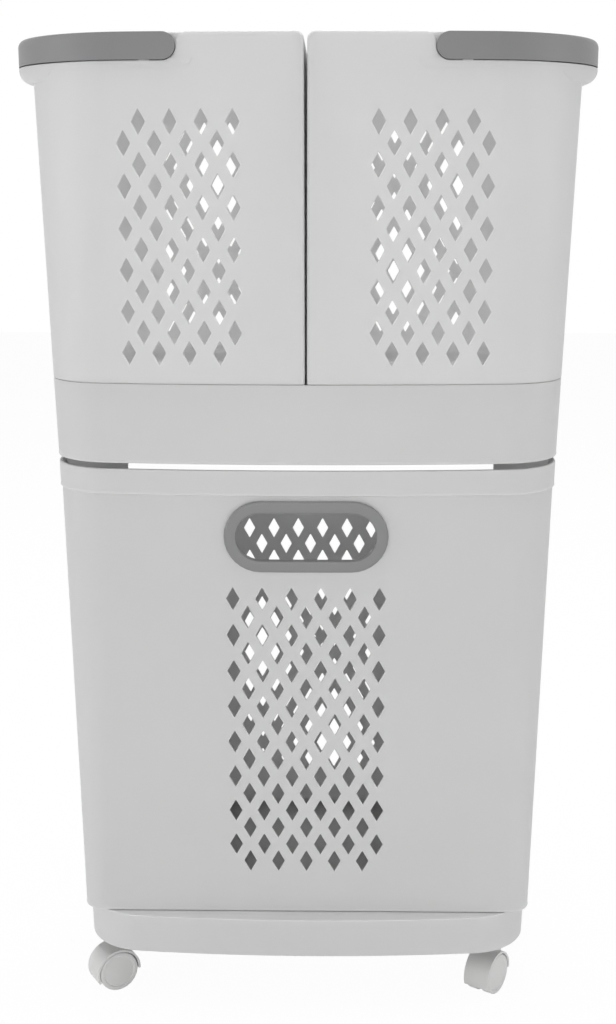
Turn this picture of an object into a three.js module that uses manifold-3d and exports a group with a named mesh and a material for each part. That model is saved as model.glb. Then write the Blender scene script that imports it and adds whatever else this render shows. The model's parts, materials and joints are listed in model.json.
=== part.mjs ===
// A laundry hamper on casters. A base, two side panels and a top tray make the frame. A lower
// basket slides out of it to the front, and two upper baskets stand on the tray, each with a
// bail that folds down into its rim.
// Millimetres, +Z up, front towards -Y, origin on the floor under the middle.

import * as THREE from 'three';
import { mergeVertices } from 'three/addons/utils/BufferGeometryUtils.js';
import Module from 'manifold-3d';

const wasm = await Module();
wasm.setup();

// Heights of the pieces, from the floor up
const FLOOR_TO_BASE = 52.5;
const BASE_HEIGHT = 35.5;
const LOWER_BASKET_HEIGHT = 410.7;
const TRAY_CLEARANCE = 5;
const TRAY_HEIGHT = 67;
const UPPER_BASKET_HEIGHT = 276.9;

// Plan of the body at the base top, at the tray top and at the rim
const WIDTH_AT_BASE = 406;
const WIDTH_AT_TRAY = 433;
const WIDTH_AT_RIM = 454;
const DEPTH_AT_BASE = 265.4;
const DEPTH_AT_TRAY = 292.2;
const DEPTH_AT_RIM = 307.8;
const FRONT_BOW_RADIUS = 1545;
const BODY_CORNER = 54;
const RIM_CORNER = 90;

// Clearances and walls
const SEAT_GAP = 0.3;
const BASKET_WALL = 2.2;
const BASKET_FLOOR = 2.6;
const FRAME_WALL = 2.6;
const CUT_OVERRUN = 20;

// Diamond pattern, the same in all three baskets
const COLUMN_PITCH = 25;
const LOWER_ROW_PITCH = 16.5;
const UPPER_ROW_PITCH = 16.67;
const DIAMOND_WIDTH = 11.4;
const DIAMOND_HEIGHT = 20.6;
const LOWER_ROWS = 16;
const LOWER_COLUMNS = 6;
const LOWER_PATTERN_DROP = 112.6;
const UPPER_ROWS = 12;
const UPPER_COLUMNS = 4;
const UPPER_PATTERN_DROP = 68;
const UPPER_PATTERN_FROM_SEAM = 101.25;

// Lower basket
const LOWER_FOOT_DEPTH = 120.5;
const LOWER_FOOT_CORNER = 20;
const LOWER_COLLAR_HEIGHT = 22;
const LOWER_COLLAR_STEP = 1.2;
const LOWER_BODY_INSET = 6.5;
const LOWER_FLANGE_INSET = 4;
const LOWER_FLANGE_THICKNESS = 2.5;
const LOWER_WRAP_END = 72;
const LOWER_WRAP_GAP = 0.5;
const LOWER_SIDE_RIM_DROP = 29;
const LOWER_REAR_RIM_DROP = 71;
const LOWER_FOOT_RADIUS = 6;
const LOWER_FRONT_FOOT_RADIUS = 1.5;
const FOOT_MIDDLE_SHARE = 0.33;

// Handle ring in the front of the lower basket
const RING_DROP = 57.1;
const RING_STRAIGHT = 77;
const RING_INNER_RADIUS = 20.4;
const RING_OUTER_RADIUS = 30.9;
const RING_PROUD = 4;
const RING_EDGE = 2;
const RING_SLEEVE_WALL = 2.2;
const RING_SLEEVE_DEPTH = 9;
const RING_GAP = 0.5;
const RING_LUG_LENGTH = 14;
const RING_LUG_HEIGHT = 1.6;
const RING_LUG_DEPTH = 3.2;
const RING_LUG_SPACING = 50;

// Base
const BASE_SIDE_STEP = 3.5;
const BASE_FRONT_STEP = 4;
const BASE_SKIRT_TAPER = 1;
const BASE_RIB_DEPTH = 22;
const BASE_RIB_SPACING = 92;
const BASE_EDGE = 1.5;

// Side panels
const PANEL_RETURN_STEPS = 2;
const PANEL_RETURN_SHARE = 0.75;
const PANEL_FOOT_INSET = 6;
const PANEL_FOOT_HEIGHT = 7.7;
const FOOT_LOW_SHARE = 0.25;
const PANEL_TONGUE = 8;
const PANEL_TONGUE_THICKNESS = 2.4;
const PANEL_SHOULDER = 12;
const GROOVE_GAP = 0.4;
const GROOVE_WALL = 2;

// Top tray
const TRAY_RECESS = 20;
const TRAY_FLOOR = 3;
const TRAY_DIVIDER_WIDTH = 6;
const TRAY_DIVIDER_HEIGHT = 8;
const TRAY_RIB_DEPTH = 18;
const TRAY_RIB_SPACING = 108;

// Upper baskets
const SEAM_WIDTH = 2.4;
const SEAM_CORNER = 4;
const UPPER_FOOT_INSET = 4;
const UPPER_FOOT_RADIUS = 5;
const POCKET_DEPTH = 6.5;
const POCKET_SHOULDER = 9;
const FLANGE_OVERHANG = 18.5;
const FLANGE_CORNER = 115;
const FLANGE_PROUD = 0.5;
const FLANGE_THICKNESS = 3;
const FLANGE_SLOPE = 10;

// Bails
const BAIL_HEIGHT = 21;
const BAIL_REST_GAP = 1;
const BAIL_WALL_GAP = 2;
const BAIL_GRIP = 15;
const BAIL_PIVOT_X = 112.5;
const BAIL_PIN_DIAMETER = 8;
const BAIL_PIN_REACH = 2.5;
const BAIL_PIN_GAP = 0.3;
const PIN_SINK = 1;

// Casters
const WHEEL_DIAMETER = 37;
const WHEEL_WIDTH = 9.6;
const WHEEL_EDGE = 1.4;
const WHEEL_DISH = 0.8;
const WHEEL_RIM = 3;
const WHEEL_CAP = 2;
const WHEEL_GAP = 0.5;
const AXLE_DIAMETER = 5;
const AXLE_GAP = 0.3;
const AXLE_END_GAP = 0.5;
const CASTER_SIDE_INSET = 27.5;
const CASTER_FRONT_INSET = 46.7;
const CASTER_TRAIL = 9;
const HOOD_WEB = 4.4;
const HOOD_CLEARANCE = 0.9;
const HOOD_THICKNESS = 2.6;
const HOOD_START_DEGREES = -38;
const HOOD_END_DEGREES = 172;
const FULL_TURN_DEGREES = 360;
const HOOD_BOSS_DIAMETER = 17;
const HOOD_BOSS_GAP = 2.6;
const STEM_DIAMETER = 8;
const STEM_IN_HOOD = 8;
const STEM_IN_BASE = 27;
const SOCKET_WALL = 2;
const SOCKET_COLLAR = 1.2;
const BOSS_WALL = 3;
const CASTER_HEADING_DEGREES = {
  front_left: 210.7,
  front_right: 236,
  rear_left: 203,
  rear_right: 248,
};

// Counts of facets
const CORNER_STEPS = 4;
const BOW_STEPS = 2;
const BOW_END = 4;
const SEAM_STEPS = 2;
const ROUND_STEPS = 10;
const SHOULDER_STEPS = 3;
const RING_STEPS = 7;
const RING_STRAIGHT_STEPS = 4;
const HOOD_STEPS = 10;
const WHEEL_SIDES = 16;
const PIN_SIDES = 10;

// Places that follow from the sizes above
const BASE_TOP = FLOOR_TO_BASE + BASE_HEIGHT;
const LOWER_BOTTOM = BASE_TOP + SEAT_GAP;
const LOWER_TOP = LOWER_BOTTOM + LOWER_BASKET_HEIGHT;
const TRAY_BOTTOM = LOWER_TOP + TRAY_CLEARANCE;
const TRAY_TOP = TRAY_BOTTOM + TRAY_HEIGHT;
const TRAY_FLOOR_TOP = TRAY_TOP - TRAY_RECESS;
const UPPER_BOTTOM = TRAY_TOP + SEAT_GAP;
const UPPER_FOOT_BOTTOM = TRAY_FLOOR_TOP + SEAT_GAP;
const RIM_TOP = UPPER_BOTTOM + UPPER_BASKET_HEIGHT;
const LEDGE_TOP = RIM_TOP - BAIL_HEIGHT - BAIL_REST_GAP;
const BAIL_PIVOT_Z = RIM_TOP - BAIL_HEIGHT / 2;
const BODY_BEND = 1 / FRONT_BOW_RADIUS;
const COLUMN_STEP = COLUMN_PITCH / 2;
const SEAM_SIDE = SEAM_WIDTH / 2;
const FAR = WIDTH_AT_RIM + DEPTH_AT_RIM;
const WHEEL_RADIUS = WHEEL_DIAMETER / 2;
const CASTER_WIDTH = HOOD_WEB + 2 * (WHEEL_WIDTH + WHEEL_GAP);

// Finishes
const moulded = { color: '#d4d4d3', roughness: 0.5, metalness: 0 };
const walls = new THREE.MeshStandardMaterial(moulded);
const grips = new THREE.MeshStandardMaterial({ ...moulded, color: '#848485' });
const nylon = new THREE.MeshStandardMaterial({ ...moulded, color: '#dcdcdb', roughness: 0.4 });
const steel = new THREE.MeshStandardMaterial({ color: '#b4b6b8', roughness: 0.3, metalness: 1 });

const { lerp, mapLinear, degToRad } = THREE.MathUtils;

// A closed solid from points and triangles
function solidFromMesh(points, faces) {
  const vertProperties = new Float32Array(points.flat());
  const triVerts = new Uint32Array(faces.flat());
  return new wasm.Manifold(new wasm.Mesh({ numProp: 3, vertProperties, triVerts }));
}

// A closed solid from a three.js geometry
function solidFromGeometry(geometry) {
  const bare = geometry.clone();
  bare.deleteAttribute('normal');
  bare.deleteAttribute('uv');
  const merged = mergeVertices(bare);
  const position = merged.getAttribute('position');
  const vertProperties = new Float32Array(position.array);
  const triVerts = new Uint32Array(merged.index.array);
  return new wasm.Manifold(new wasm.Mesh({ numProp: 3, vertProperties, triVerts }));
}

// The named mesh of a solid
function meshFromSolid(name, solid, material) {
  const { vertProperties, triVerts } = solid.getMesh();
  const geometry = new THREE.BufferGeometry();
  geometry.setAttribute('position', new THREE.BufferAttribute(vertProperties, 3));
  geometry.setIndex(new THREE.BufferAttribute(triVerts, 1));
  const mesh = new THREE.Mesh(geometry, material);
  mesh.name = name;
  return mesh;
}

// Triangles of the skin between neighbouring rings of equal length
function skinFaces(ringCount, ringLength, closed) {
  const faces = [];
  const bands = closed ? ringCount : ringCount - 1;
  for (let band = 0; band < bands; band += 1) {
    const low = band * ringLength;
    const high = ((band + 1) % ringCount) * ringLength;
    for (let index = 0; index < ringLength; index += 1) {
      const next = (index + 1) % ringLength;
      faces.push([low + index, low + next, high + next]);
      faces.push([low + index, high + next, high + index]);
    }
  }
  return faces;
}

// A solid whose skin runs through rings of points, with a flat cap on the first and last ring
function stackSolid(rings) {
  const length = rings[0].length;
  const faces = skinFaces(rings.length, length, false);
  const capOf = (ring) => {
    const flat = ring.map(([x, y]) => new THREE.Vector2(x, y));
    return THREE.ShapeUtils.triangulateShape(flat, []);
  };
  for (const [a, b, c] of capOf(rings[0])) faces.push([c, b, a]);
  const top = (rings.length - 1) * length;
  for (const [a, b, c] of capOf(rings[rings.length - 1])) faces.push([top + a, top + b, top + c]);
  return solidFromMesh(rings.flat(), faces);
}

// A closed band whose section runs through the rings and back to the first
function bandSolid(rings) {
  return solidFromMesh(rings.flat(), skinFaces(rings.length, rings[0].length, true));
}

function ringAt(loop, z) {
  return loop.map(([x, y]) => [x, y, z]);
}

function boxSolid(width, depth, height, x, y, bottom) {
  const geometry = new THREE.BoxGeometry(width, depth, height);
  return solidFromGeometry(geometry.translate(x, y, bottom + height / 2));
}

// A prism along Y of an outline given as x and z
function prismAlongY(outline, front, back) {
  const shape = new THREE.Shape(outline.map(([x, z]) => new THREE.Vector2(x, z)));
  const geometry = new THREE.ExtrudeGeometry(shape, { depth: back - front, bevelEnabled: false });
  return solidFromGeometry(geometry.rotateX(Math.PI / 2).translate(0, back, 0));
}

function postSolid(diameter, bottom, top, x, y) {
  const geometry = new THREE.CylinderGeometry(diameter / 2, diameter / 2, top - bottom, ROUND_STEPS);
  return solidFromGeometry(geometry.rotateX(Math.PI / 2).translate(x, y, (bottom + top) / 2));
}

// Half width and half depth of the tapered body at a height
function bodyAt(z) {
  const lower = z < TRAY_TOP;
  const from = lower ? BASE_TOP : TRAY_TOP;
  const to = lower ? TRAY_TOP : RIM_TOP;
  const widths = lower ? [WIDTH_AT_BASE, WIDTH_AT_TRAY] : [WIDTH_AT_TRAY, WIDTH_AT_RIM];
  const depths = lower ? [DEPTH_AT_BASE, DEPTH_AT_TRAY] : [DEPTH_AT_TRAY, DEPTH_AT_RIM];
  return {
    halfWidth: mapLinear(z, from, to, ...widths) / 2,
    halfDepth: mapLinear(z, from, to, ...depths) / 2,
    corner: lower ? BODY_CORNER : mapLinear(z, from, to, BODY_CORNER, RIM_CORNER),
    bend: BODY_BEND,
  };
}

function insetOutline(outline, side, depth = side) {
  return {
    ...outline,
    halfWidth: outline.halfWidth - side,
    halfDepth: outline.halfDepth - depth,
    corner: outline.corner - side,
  };
}

// Centre and start of the arc that rounds a corner of an outline
function cornerArc({ halfWidth, halfDepth, corner, bend }) {
  const x = halfWidth - corner;
  const startX = x / (1 - corner * bend);
  const startY = (bend * startX * startX) / 2 - halfDepth;
  const startAngle = Math.asin((startX - x) / corner);
  return { x, y: startY + corner * Math.cos(startAngle), startX, startAngle };
}

// Points of a corner's arc, from the given place across to the straight side
function cornerPoints(outline, fromX = 0) {
  const arc = cornerArc(outline);
  const from = Math.asin((Math.max(fromX, arc.startX) - arc.x) / outline.corner);
  const points = [];
  for (let step = 0; step <= CORNER_STEPS; step += 1) {
    const angle = lerp(from, Math.PI / 2, step / CORNER_STEPS);
    const x = arc.x + outline.corner * Math.sin(angle);
    points.push([x, arc.y - outline.corner * Math.cos(angle)]);
  }
  return points;
}

// Place of a plan outline's front at a distance across: a gentle bow, and then the corner's arc
function frontAt(outline, x) {
  const arc = cornerArc(outline);
  if (x <= arc.startX) return (outline.bend * x * x) / 2 - outline.halfDepth;
  return arc.y - Math.sqrt(outline.corner ** 2 - (x - arc.x) ** 2);
}

// A quarter of a plan outline, from the front round to the side, at x > 0 and y < 0. The front
// has facet lines at the given stations, and the corner's own facets begin after the last one.
function quarterOutline(outline, stations) {
  const last = stations[stations.length - 1];
  const begin = Math.max(cornerArc(outline).startX, last + BOW_END);
  const lines = [...stations];
  for (let step = 1; step < BOW_STEPS; step += 1) {
    lines.push(lerp(last, begin, step / BOW_STEPS));
  }
  return [...lines.map((x) => [x, frontAt(outline, x)]), ...cornerPoints(outline, begin)];
}

function mirrorDepth(points) {
  return points.map(([x, y]) => [x, -y]).reverse();
}

function mirrorWidth(points) {
  return points.map(([x, y]) => [-x, y]).reverse();
}

// The whole outline of a piece that is the same left and right
function wholeLoop(frontQuarter, rearQuarter = frontQuarter) {
  const right = [...frontQuarter, ...mirrorDepth(rearQuarter)];
  return [...right, ...mirrorWidth(right)];
}

// Facet lines of the lower basket's front, which pass between its diamonds
function lowerStations() {
  const stations = [];
  for (let line = 0; line < LOWER_COLUMNS / 2; line += 1) {
    stations.push((line + 1 / 2) * COLUMN_PITCH + COLUMN_STEP / 2);
  }
  return stations;
}

// Facet lines of the frame's front
function frameStations() {
  const half = (UPPER_COLUMNS / 2) * COLUMN_PITCH;
  const first = UPPER_PATTERN_FROM_SEAM - half;
  return [SEAM_SIDE + SEAM_CORNER, first, first + half, first + half + COLUMN_PITCH];
}

function bodyLoop(z, inset) {
  return wholeLoop(quarterOutline(insetOutline(bodyAt(z), inset), frameStations()));
}

// Places of a pattern whose rows are set off by half a pitch from each other
function patternCentres(rows, columns, rowPitch, x, top, shorterRows) {
  const centres = [];
  for (let row = 0; row < rows; row += 1) {
    const odd = row % 2;
    const count = columns - (shorterRows ? odd : 0);
    const shift = shorterRows ? 0 : (odd - 1 / 2) * COLUMN_STEP;
    for (let column = 0; column < count; column += 1) {
      const along = (column - (count - 1) / 2) * COLUMN_PITCH;
      centres.push([x + shift + along, top - row * rowPitch]);
    }
  }
  return centres;
}

// One cutter of many separate diamond prisms, long enough to pass front and back walls
function diamondCutter(centres) {
  const corners = [
    [0, -DIAMOND_HEIGHT / 2],
    [DIAMOND_WIDTH / 2, 0],
    [0, DIAMOND_HEIGHT / 2],
    [-DIAMOND_WIDTH / 2, 0],
  ];
  const points = [];
  const faces = [];
  for (const [x, z] of centres) {
    const first = points.length;
    for (const y of [FAR, -FAR]) {
      for (const [across, up] of corners) points.push([x + across, y, z + up]);
    }
    const own = skinFaces(2, corners.length, false);
    own.push([0, 2, 1], [0, 3, 2], [4, 5, 6], [4, 6, 7]);
    for (const face of own) faces.push(face.map((index) => first + index));
  }
  return solidFromMesh(points, faces);
}

// Lower basket: the front wraps round both corners, and behind it the body steps in so that it
// runs between the side panels. The front leans in to a straight bottom edge.
function lowerFrontAt(z) {
  const share = (z - LOWER_BOTTOM) / LOWER_BASKET_HEIGHT;
  const top = bodyAt(LOWER_TOP);
  return {
    halfWidth: bodyAt(z).halfWidth,
    halfDepth: lerp(LOWER_FOOT_DEPTH, top.halfDepth, share),
    corner: lerp(LOWER_FOOT_CORNER, BODY_CORNER, share),
    bend: lerp(0, BODY_BEND, share),
  };
}

// Outline of the lower basket, with heights that differ between the front and the body behind
function lowerRing(front, body) {
  const frontZ = front.z;
  const wrapY = -LOWER_WRAP_END - (front.behind ?? 0);
  const frontOutline = insetOutline(lowerFrontAt(frontZ), front.inset);
  const frontQuarter = quarterOutline(frontOutline, lowerStations());
  const wrap = frontQuarter.map(([x, y]) => [x, y, frontZ]);
  wrap.push([bodyAt(frontZ).halfWidth - front.inset, wrapY, frontZ]);
  const rearQuarter = quarterOutline(insetOutline(bodyAt(body.z), body.inset), lowerStations());
  const sideX = bodyAt(body.sideZ ?? body.z).halfWidth - body.inset;
  const rear = [[sideX, wrapY, body.sideZ ?? body.z]];
  for (const [x, y] of mirrorDepth(rearQuarter)) rear.push([x, y, body.z]);
  const right = [...wrap, ...rear];
  const left = right.map(([x, y, z]) => [-x, y, z]).reverse();
  return [...right, ...left];
}

function lowerBasket() {
  const step = LOWER_COLLAR_STEP;
  const wall = BASKET_WALL;
  const foot = LOWER_FOOT_RADIUS;
  const frontFoot = LOWER_FRONT_FOOT_RADIUS;
  const bottom = LOWER_BOTTOM;
  const low = bottom + foot * FOOT_MIDDLE_SHARE;
  const collarZ = LOWER_TOP - LOWER_COLLAR_HEIGHT;
  const rear = LOWER_TOP - LOWER_REAR_RIM_DROP;
  const side = LOWER_TOP - LOWER_SIDE_RIM_DROP;
  const under = LOWER_FLANGE_THICKNESS;
  const inner = bottom + BASKET_FLOOR;
  const body = LOWER_BODY_INSET;
  const flange = LOWER_FLANGE_INSET;
  const rings = [
    lowerRing({ z: bottom, inset: step + frontFoot }, { z: bottom, inset: body + foot }),
    lowerRing(
      { z: low, inset: step + frontFoot * FOOT_MIDDLE_SHARE },
      { z: low, inset: body + foot * FOOT_MIDDLE_SHARE },
    ),
    lowerRing({ z: bottom + foot, inset: step }, { z: bottom + foot, inset: body }),
    lowerRing({ z: collarZ, inset: step }, { z: rear - under, sideZ: side - under, inset: body }),
    lowerRing({ z: collarZ, inset: 0 }, { z: rear - under, sideZ: side - under, inset: flange }),
    lowerRing({ z: LOWER_TOP, inset: 0 }, { z: rear, sideZ: side, inset: flange }),
    lowerRing(
      { z: LOWER_TOP, inset: step + wall, behind: wall },
      { z: rear, sideZ: side, inset: body + wall },
    ),
    lowerRing(
      { z: inner + foot, inset: step + wall, behind: wall },
      { z: inner + foot, inset: body + wall },
    ),
    lowerRing(
      { z: inner, inset: step + wall + frontFoot, behind: wall },
      { z: inner, inset: body + foot },
    ),
  ];
  const centres = patternCentres(
    LOWER_ROWS, LOWER_COLUMNS, LOWER_ROW_PITCH, 0, LOWER_TOP - LOWER_PATTERN_DROP, true,
  );
  const hole = stadium(RING_INNER_RADIUS + RING_SLEEVE_WALL + RING_GAP);
  const handHole = prismAlongY(hole.map(([x, z]) => [x, z + ringPlace().z]), -FAR, 0);
  return stackSolid(rings).subtract(diamondCutter(centres)).subtract(handHole);
}

// A long round outline with the handle ring's straight sides, divided so that it can bow
function stadium(radius) {
  const points = [];
  for (const side of [1, -1]) {
    for (let step = 0; step <= RING_STEPS; step += 1) {
      const angle = lerp(-Math.PI / 2, Math.PI / 2, step / RING_STEPS);
      const x = side * (RING_STRAIGHT / 2 + radius * Math.cos(angle));
      points.push([x, side * radius * Math.sin(angle)]);
    }
    for (let step = 1; step < RING_STRAIGHT_STEPS; step += 1) {
      points.push([side * RING_STRAIGHT * (1 / 2 - step / RING_STRAIGHT_STEPS), side * radius]);
    }
  }
  return points;
}

// Where the handle ring sits on the leaning front, and how much the front leans there
function ringPlace() {
  const faceY = (z) => {
    const front = lowerFrontAt(z);
    return LOWER_COLLAR_STEP - front.halfDepth;
  };
  const z = LOWER_TOP - RING_DROP;
  const lean = Math.atan2(faceY(LOWER_BOTTOM) - faceY(LOWER_TOP), LOWER_BASKET_HEIGHT);
  return { y: faceY(z), z, lean };
}

// Handle ring: a flange on the front face and a sleeve through the hand hole, with lugs that
// snap behind the wall. Its section runs round a long round outline.
function handleRing() {
  const inner = RING_INNER_RADIUS;
  const outer = RING_OUTER_RADIUS;
  const sleeve = inner + RING_SLEEVE_WALL;
  const section = [
    [sleeve, RING_SLEEVE_DEPTH],
    [sleeve, -SEAT_GAP],
    [outer, -SEAT_GAP],
    [outer, RING_EDGE - RING_PROUD],
    [outer - RING_EDGE, -RING_PROUD],
    [inner + RING_EDGE / 2, -RING_PROUD],
    [inner, RING_EDGE / 2 - RING_PROUD],
    [inner, RING_SLEEVE_DEPTH],
  ];
  const bend = lowerFrontAt(ringPlace().z).bend;
  const bowed = ([x, z], y) => [x, y + (bend * x * x) / 2, z];
  const rings = section.map(([radius, y]) => stadium(radius).map((point) => bowed(point, y)));
  let solid = bandSolid(rings);
  const lugBottom = sleeve - RING_SLEEVE_WALL / 2;
  const lugEnd = (RING_LUG_SPACING + RING_LUG_LENGTH) / 2;
  const lugFront = BASKET_WALL + SEAT_GAP + (bend * lugEnd * lugEnd) / 2;
  const lugY = lugFront + RING_LUG_DEPTH / 2;
  for (const x of [-RING_LUG_SPACING / 2, RING_LUG_SPACING / 2]) {
    for (const side of [1, -1]) {
      const height = RING_LUG_HEIGHT + RING_SLEEVE_WALL / 2;
      const low = side > 0 ? lugBottom : -lugBottom - height;
      solid = solid.add(boxSolid(RING_LUG_LENGTH, RING_LUG_DEPTH, height, x, lugY, low));
    }
  }
  const mesh = meshFromSolid('handle_ring', solid, grips);
  const place = ringPlace();
  mesh.position.set(0, place.y, place.z);
  mesh.rotation.x = place.lean;
  return mesh;
}

// Plan strip of a side panel, from its front edge round most of the rear corner. grow lengthens
// both ends.
function panelStrip(z, outerInset, innerInset, grow = 0) {
  const path = (inset) => {
    const outline = insetOutline(bodyAt(z), inset);
    const corner = mirrorDepth(cornerPoints(outline));
    const whole = corner.slice(0, PANEL_RETURN_STEPS + 1);
    const [from, to] = corner.slice(PANEL_RETURN_STEPS);
    const chord = Math.hypot(to[0] - from[0], to[1] - from[1]);
    const share = PANEL_RETURN_SHARE + grow / chord;
    const front = [outline.halfWidth, LOWER_WRAP_GAP - LOWER_WRAP_END - grow];
    return [front, ...whole, [lerp(from[0], to[0], share), lerp(from[1], to[1], share)]];
  };
  return [...path(outerInset), ...path(innerInset).reverse()];
}

// Side panel: a curved wall with a rounded foot, a tongue into the base below and a tongue into
// the tray above
function sidePanel() {
  const foot = BASE_TOP + SEAT_GAP;
  const head = TRAY_BOTTOM - SEAT_GAP;
  const wall = FRAME_WALL;
  const tongueInset = PANEL_FOOT_INSET;
  const footInset = PANEL_FOOT_INSET * FOOT_MIDDLE_SHARE;
  const headInset = FRAME_WALL + GROOVE_GAP;
  const thickness = PANEL_TONGUE_THICKNESS;
  const sections = [
    [foot - PANEL_TONGUE, tongueInset, tongueInset + thickness],
    [foot, tongueInset, tongueInset + thickness],
    [foot + PANEL_FOOT_HEIGHT * FOOT_LOW_SHARE, footInset, footInset + wall],
    [foot + PANEL_FOOT_HEIGHT, 0, wall],
    [head - PANEL_SHOULDER, 0, wall],
    [head - PANEL_SHOULDER / 2, 0, headInset + thickness],
    [head, 0, headInset + thickness],
    [head, headInset, headInset + thickness],
    [head + PANEL_TONGUE, headInset, headInset + thickness],
  ];
  return stackSolid(sections.map(([z, outer, inner]) => ringAt(panelStrip(z, outer, inner), z)));
}

// A strip along the path of a side panel's tongue, on both sides of the frame
function grooveStrips(z, bottom, top, outerInset, innerInset, grow) {
  const loop = panelStrip(z, outerInset, innerInset, grow);
  const strip = stackSolid([ringAt(loop, bottom), ringAt(loop, top)]);
  return strip.add(strip.mirror([1, 0, 0]));
}

// Outline of the base, a little wider in front and behind than the basket above it
function baseLoop(z, inset) {
  const taper = mapLinear(z, FLOOR_TO_BASE, BASE_TOP, BASE_SKIRT_TAPER, 0);
  const outline = insetOutline(bodyAt(BASE_TOP), BASE_SIDE_STEP, -BASE_FRONT_STEP);
  return wholeLoop(quarterOutline(insetOutline(outline, inset + taper), frameStations()));
}

// Where the casters stand, to the right of and behind the middle
function casterPlace() {
  const body = bodyAt(BASE_TOP);
  return {
    x: body.halfWidth - BASE_SIDE_STEP - CASTER_SIDE_INSET,
    y: body.halfDepth + BASE_FRONT_STEP - CASTER_FRONT_INSET,
  };
}

// Base: a deck with a skirt, grooves for the side panels, ribs and four caster bosses below
function base() {
  const wall = FRAME_WALL;
  const under = BASE_TOP - FRAME_WALL;
  const shell = stackSolid([
    ringAt(baseLoop(under, wall), under),
    ringAt(baseLoop(FLOOR_TO_BASE, wall), FLOOR_TO_BASE),
    ringAt(baseLoop(FLOOR_TO_BASE, 0), FLOOR_TO_BASE),
    ringAt(baseLoop(BASE_TOP - BASE_EDGE, 0), BASE_TOP - BASE_EDGE),
    ringAt(baseLoop(BASE_TOP, BASE_EDGE), BASE_TOP),
  ]);
  const grooveBottom = BASE_TOP - PANEL_TONGUE - GROOVE_GAP;
  const tongueEnd = PANEL_FOOT_INSET + PANEL_TONGUE_THICKNESS;
  const outerGroove = PANEL_FOOT_INSET - GROOVE_GAP;
  const innerGroove = tongueEnd + GROOVE_GAP;
  const channel = grooveStrips(
    BASE_TOP, grooveBottom - GROOVE_WALL, BASE_TOP - BASE_EDGE,
    outerGroove - GROOVE_WALL, innerGroove + GROOVE_WALL, GROOVE_GAP + GROOVE_WALL,
  );
  const groove = grooveStrips(
    BASE_TOP, grooveBottom, BASE_TOP + CUT_OVERRUN, outerGroove, innerGroove, GROOVE_GAP,
  );
  const inside = stackSolid([
    ringAt(baseLoop(FLOOR_TO_BASE, wall / 2), FLOOR_TO_BASE),
    ringAt(baseLoop(BASE_TOP, wall / 2), BASE_TOP - wall / 2),
  ]);
  const ribBottom = under - BASE_RIB_DEPTH;
  let ribs = boxSolid(FAR, wall, BASE_RIB_DEPTH + wall / 2, 0, 0, ribBottom);
  for (const x of [-1, 0, 1]) {
    ribs = ribs.add(boxSolid(wall, FAR, BASE_RIB_DEPTH + wall / 2, x * BASE_RIB_SPACING, 0, ribBottom));
  }
  let solid = shell.add(ribs.add(channel).intersect(inside));
  const boss = STEM_DIAMETER + 2 * (AXLE_GAP + SOCKET_WALL + SEAT_GAP);
  const place = casterPlace();
  const places = [1, -1].flatMap((side) => [[side * place.x, place.y], [side * place.x, -place.y]]);
  for (const [x, y] of places) {
    solid = solid.add(postSolid(boss + 2 * BOSS_WALL, FLOOR_TO_BASE, BASE_TOP - wall / 2, x, y));
  }
  solid = solid.subtract(groove);
  for (const [x, y] of places) {
    solid = solid.subtract(postSolid(boss, FLOOR_TO_BASE - CUT_OVERRUN, under, x, y));
  }
  return solid;
}

// Top tray: a deep skirt round a sunken floor for the upper baskets' feet, with a divider
// between them and, below, ribs and a lip behind each side panel's tongue
function topTray() {
  const wall = FRAME_WALL;
  const underside = TRAY_FLOOR_TOP - TRAY_FLOOR;
  const shell = stackSolid([
    ringAt(bodyLoop(underside, wall), underside),
    ringAt(bodyLoop(TRAY_BOTTOM, wall), TRAY_BOTTOM),
    ringAt(bodyLoop(TRAY_BOTTOM, 0), TRAY_BOTTOM),
    ringAt(bodyLoop(TRAY_TOP, 0), TRAY_TOP),
    ringAt(bodyLoop(TRAY_TOP, wall), TRAY_TOP),
    ringAt(bodyLoop(TRAY_FLOOR_TOP, wall), TRAY_FLOOR_TOP),
  ]);
  const inside = stackSolid([
    ringAt(bodyLoop(TRAY_BOTTOM, wall / 2), TRAY_BOTTOM),
    ringAt(bodyLoop(underside, wall / 2), underside + wall / 2),
  ]);
  const lipInset = FRAME_WALL + 2 * GROOVE_GAP + PANEL_TONGUE_THICKNESS + GROOVE_GAP;
  const lip = grooveStrips(
    TRAY_BOTTOM, TRAY_BOTTOM, underside + wall / 2, lipInset, lipInset + GROOVE_WALL, 0,
  );
  const ribBottom = underside - TRAY_RIB_DEPTH;
  const ribHeight = TRAY_RIB_DEPTH + wall / 2;
  let ribs = boxSolid(FAR, wall, ribHeight, 0, 0, ribBottom);
  for (const x of [-1, 0, 1]) {
    ribs = ribs.add(boxSolid(wall, FAR, ribHeight, x * TRAY_RIB_SPACING, 0, ribBottom));
  }
  const dividerDepth = DEPTH_AT_TRAY - 2 * wall - BODY_CORNER;
  const divider = boxSolid(
    TRAY_DIVIDER_WIDTH, dividerDepth, TRAY_DIVIDER_HEIGHT + TRAY_FLOOR / 2,
    0, 0, TRAY_FLOOR_TOP - TRAY_FLOOR / 2,
  );
  return shell.add(ribs.add(lip).intersect(inside)).add(divider);
}

// Facet lines of an upper basket's front, which pass between its diamonds
function upperStations() {
  const stations = [];
  for (let line = 0; line <= UPPER_COLUMNS; line += 1) {
    stations.push(UPPER_PATTERN_FROM_SEAM + (line - UPPER_COLUMNS / 2) * COLUMN_PITCH);
  }
  return stations;
}

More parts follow.
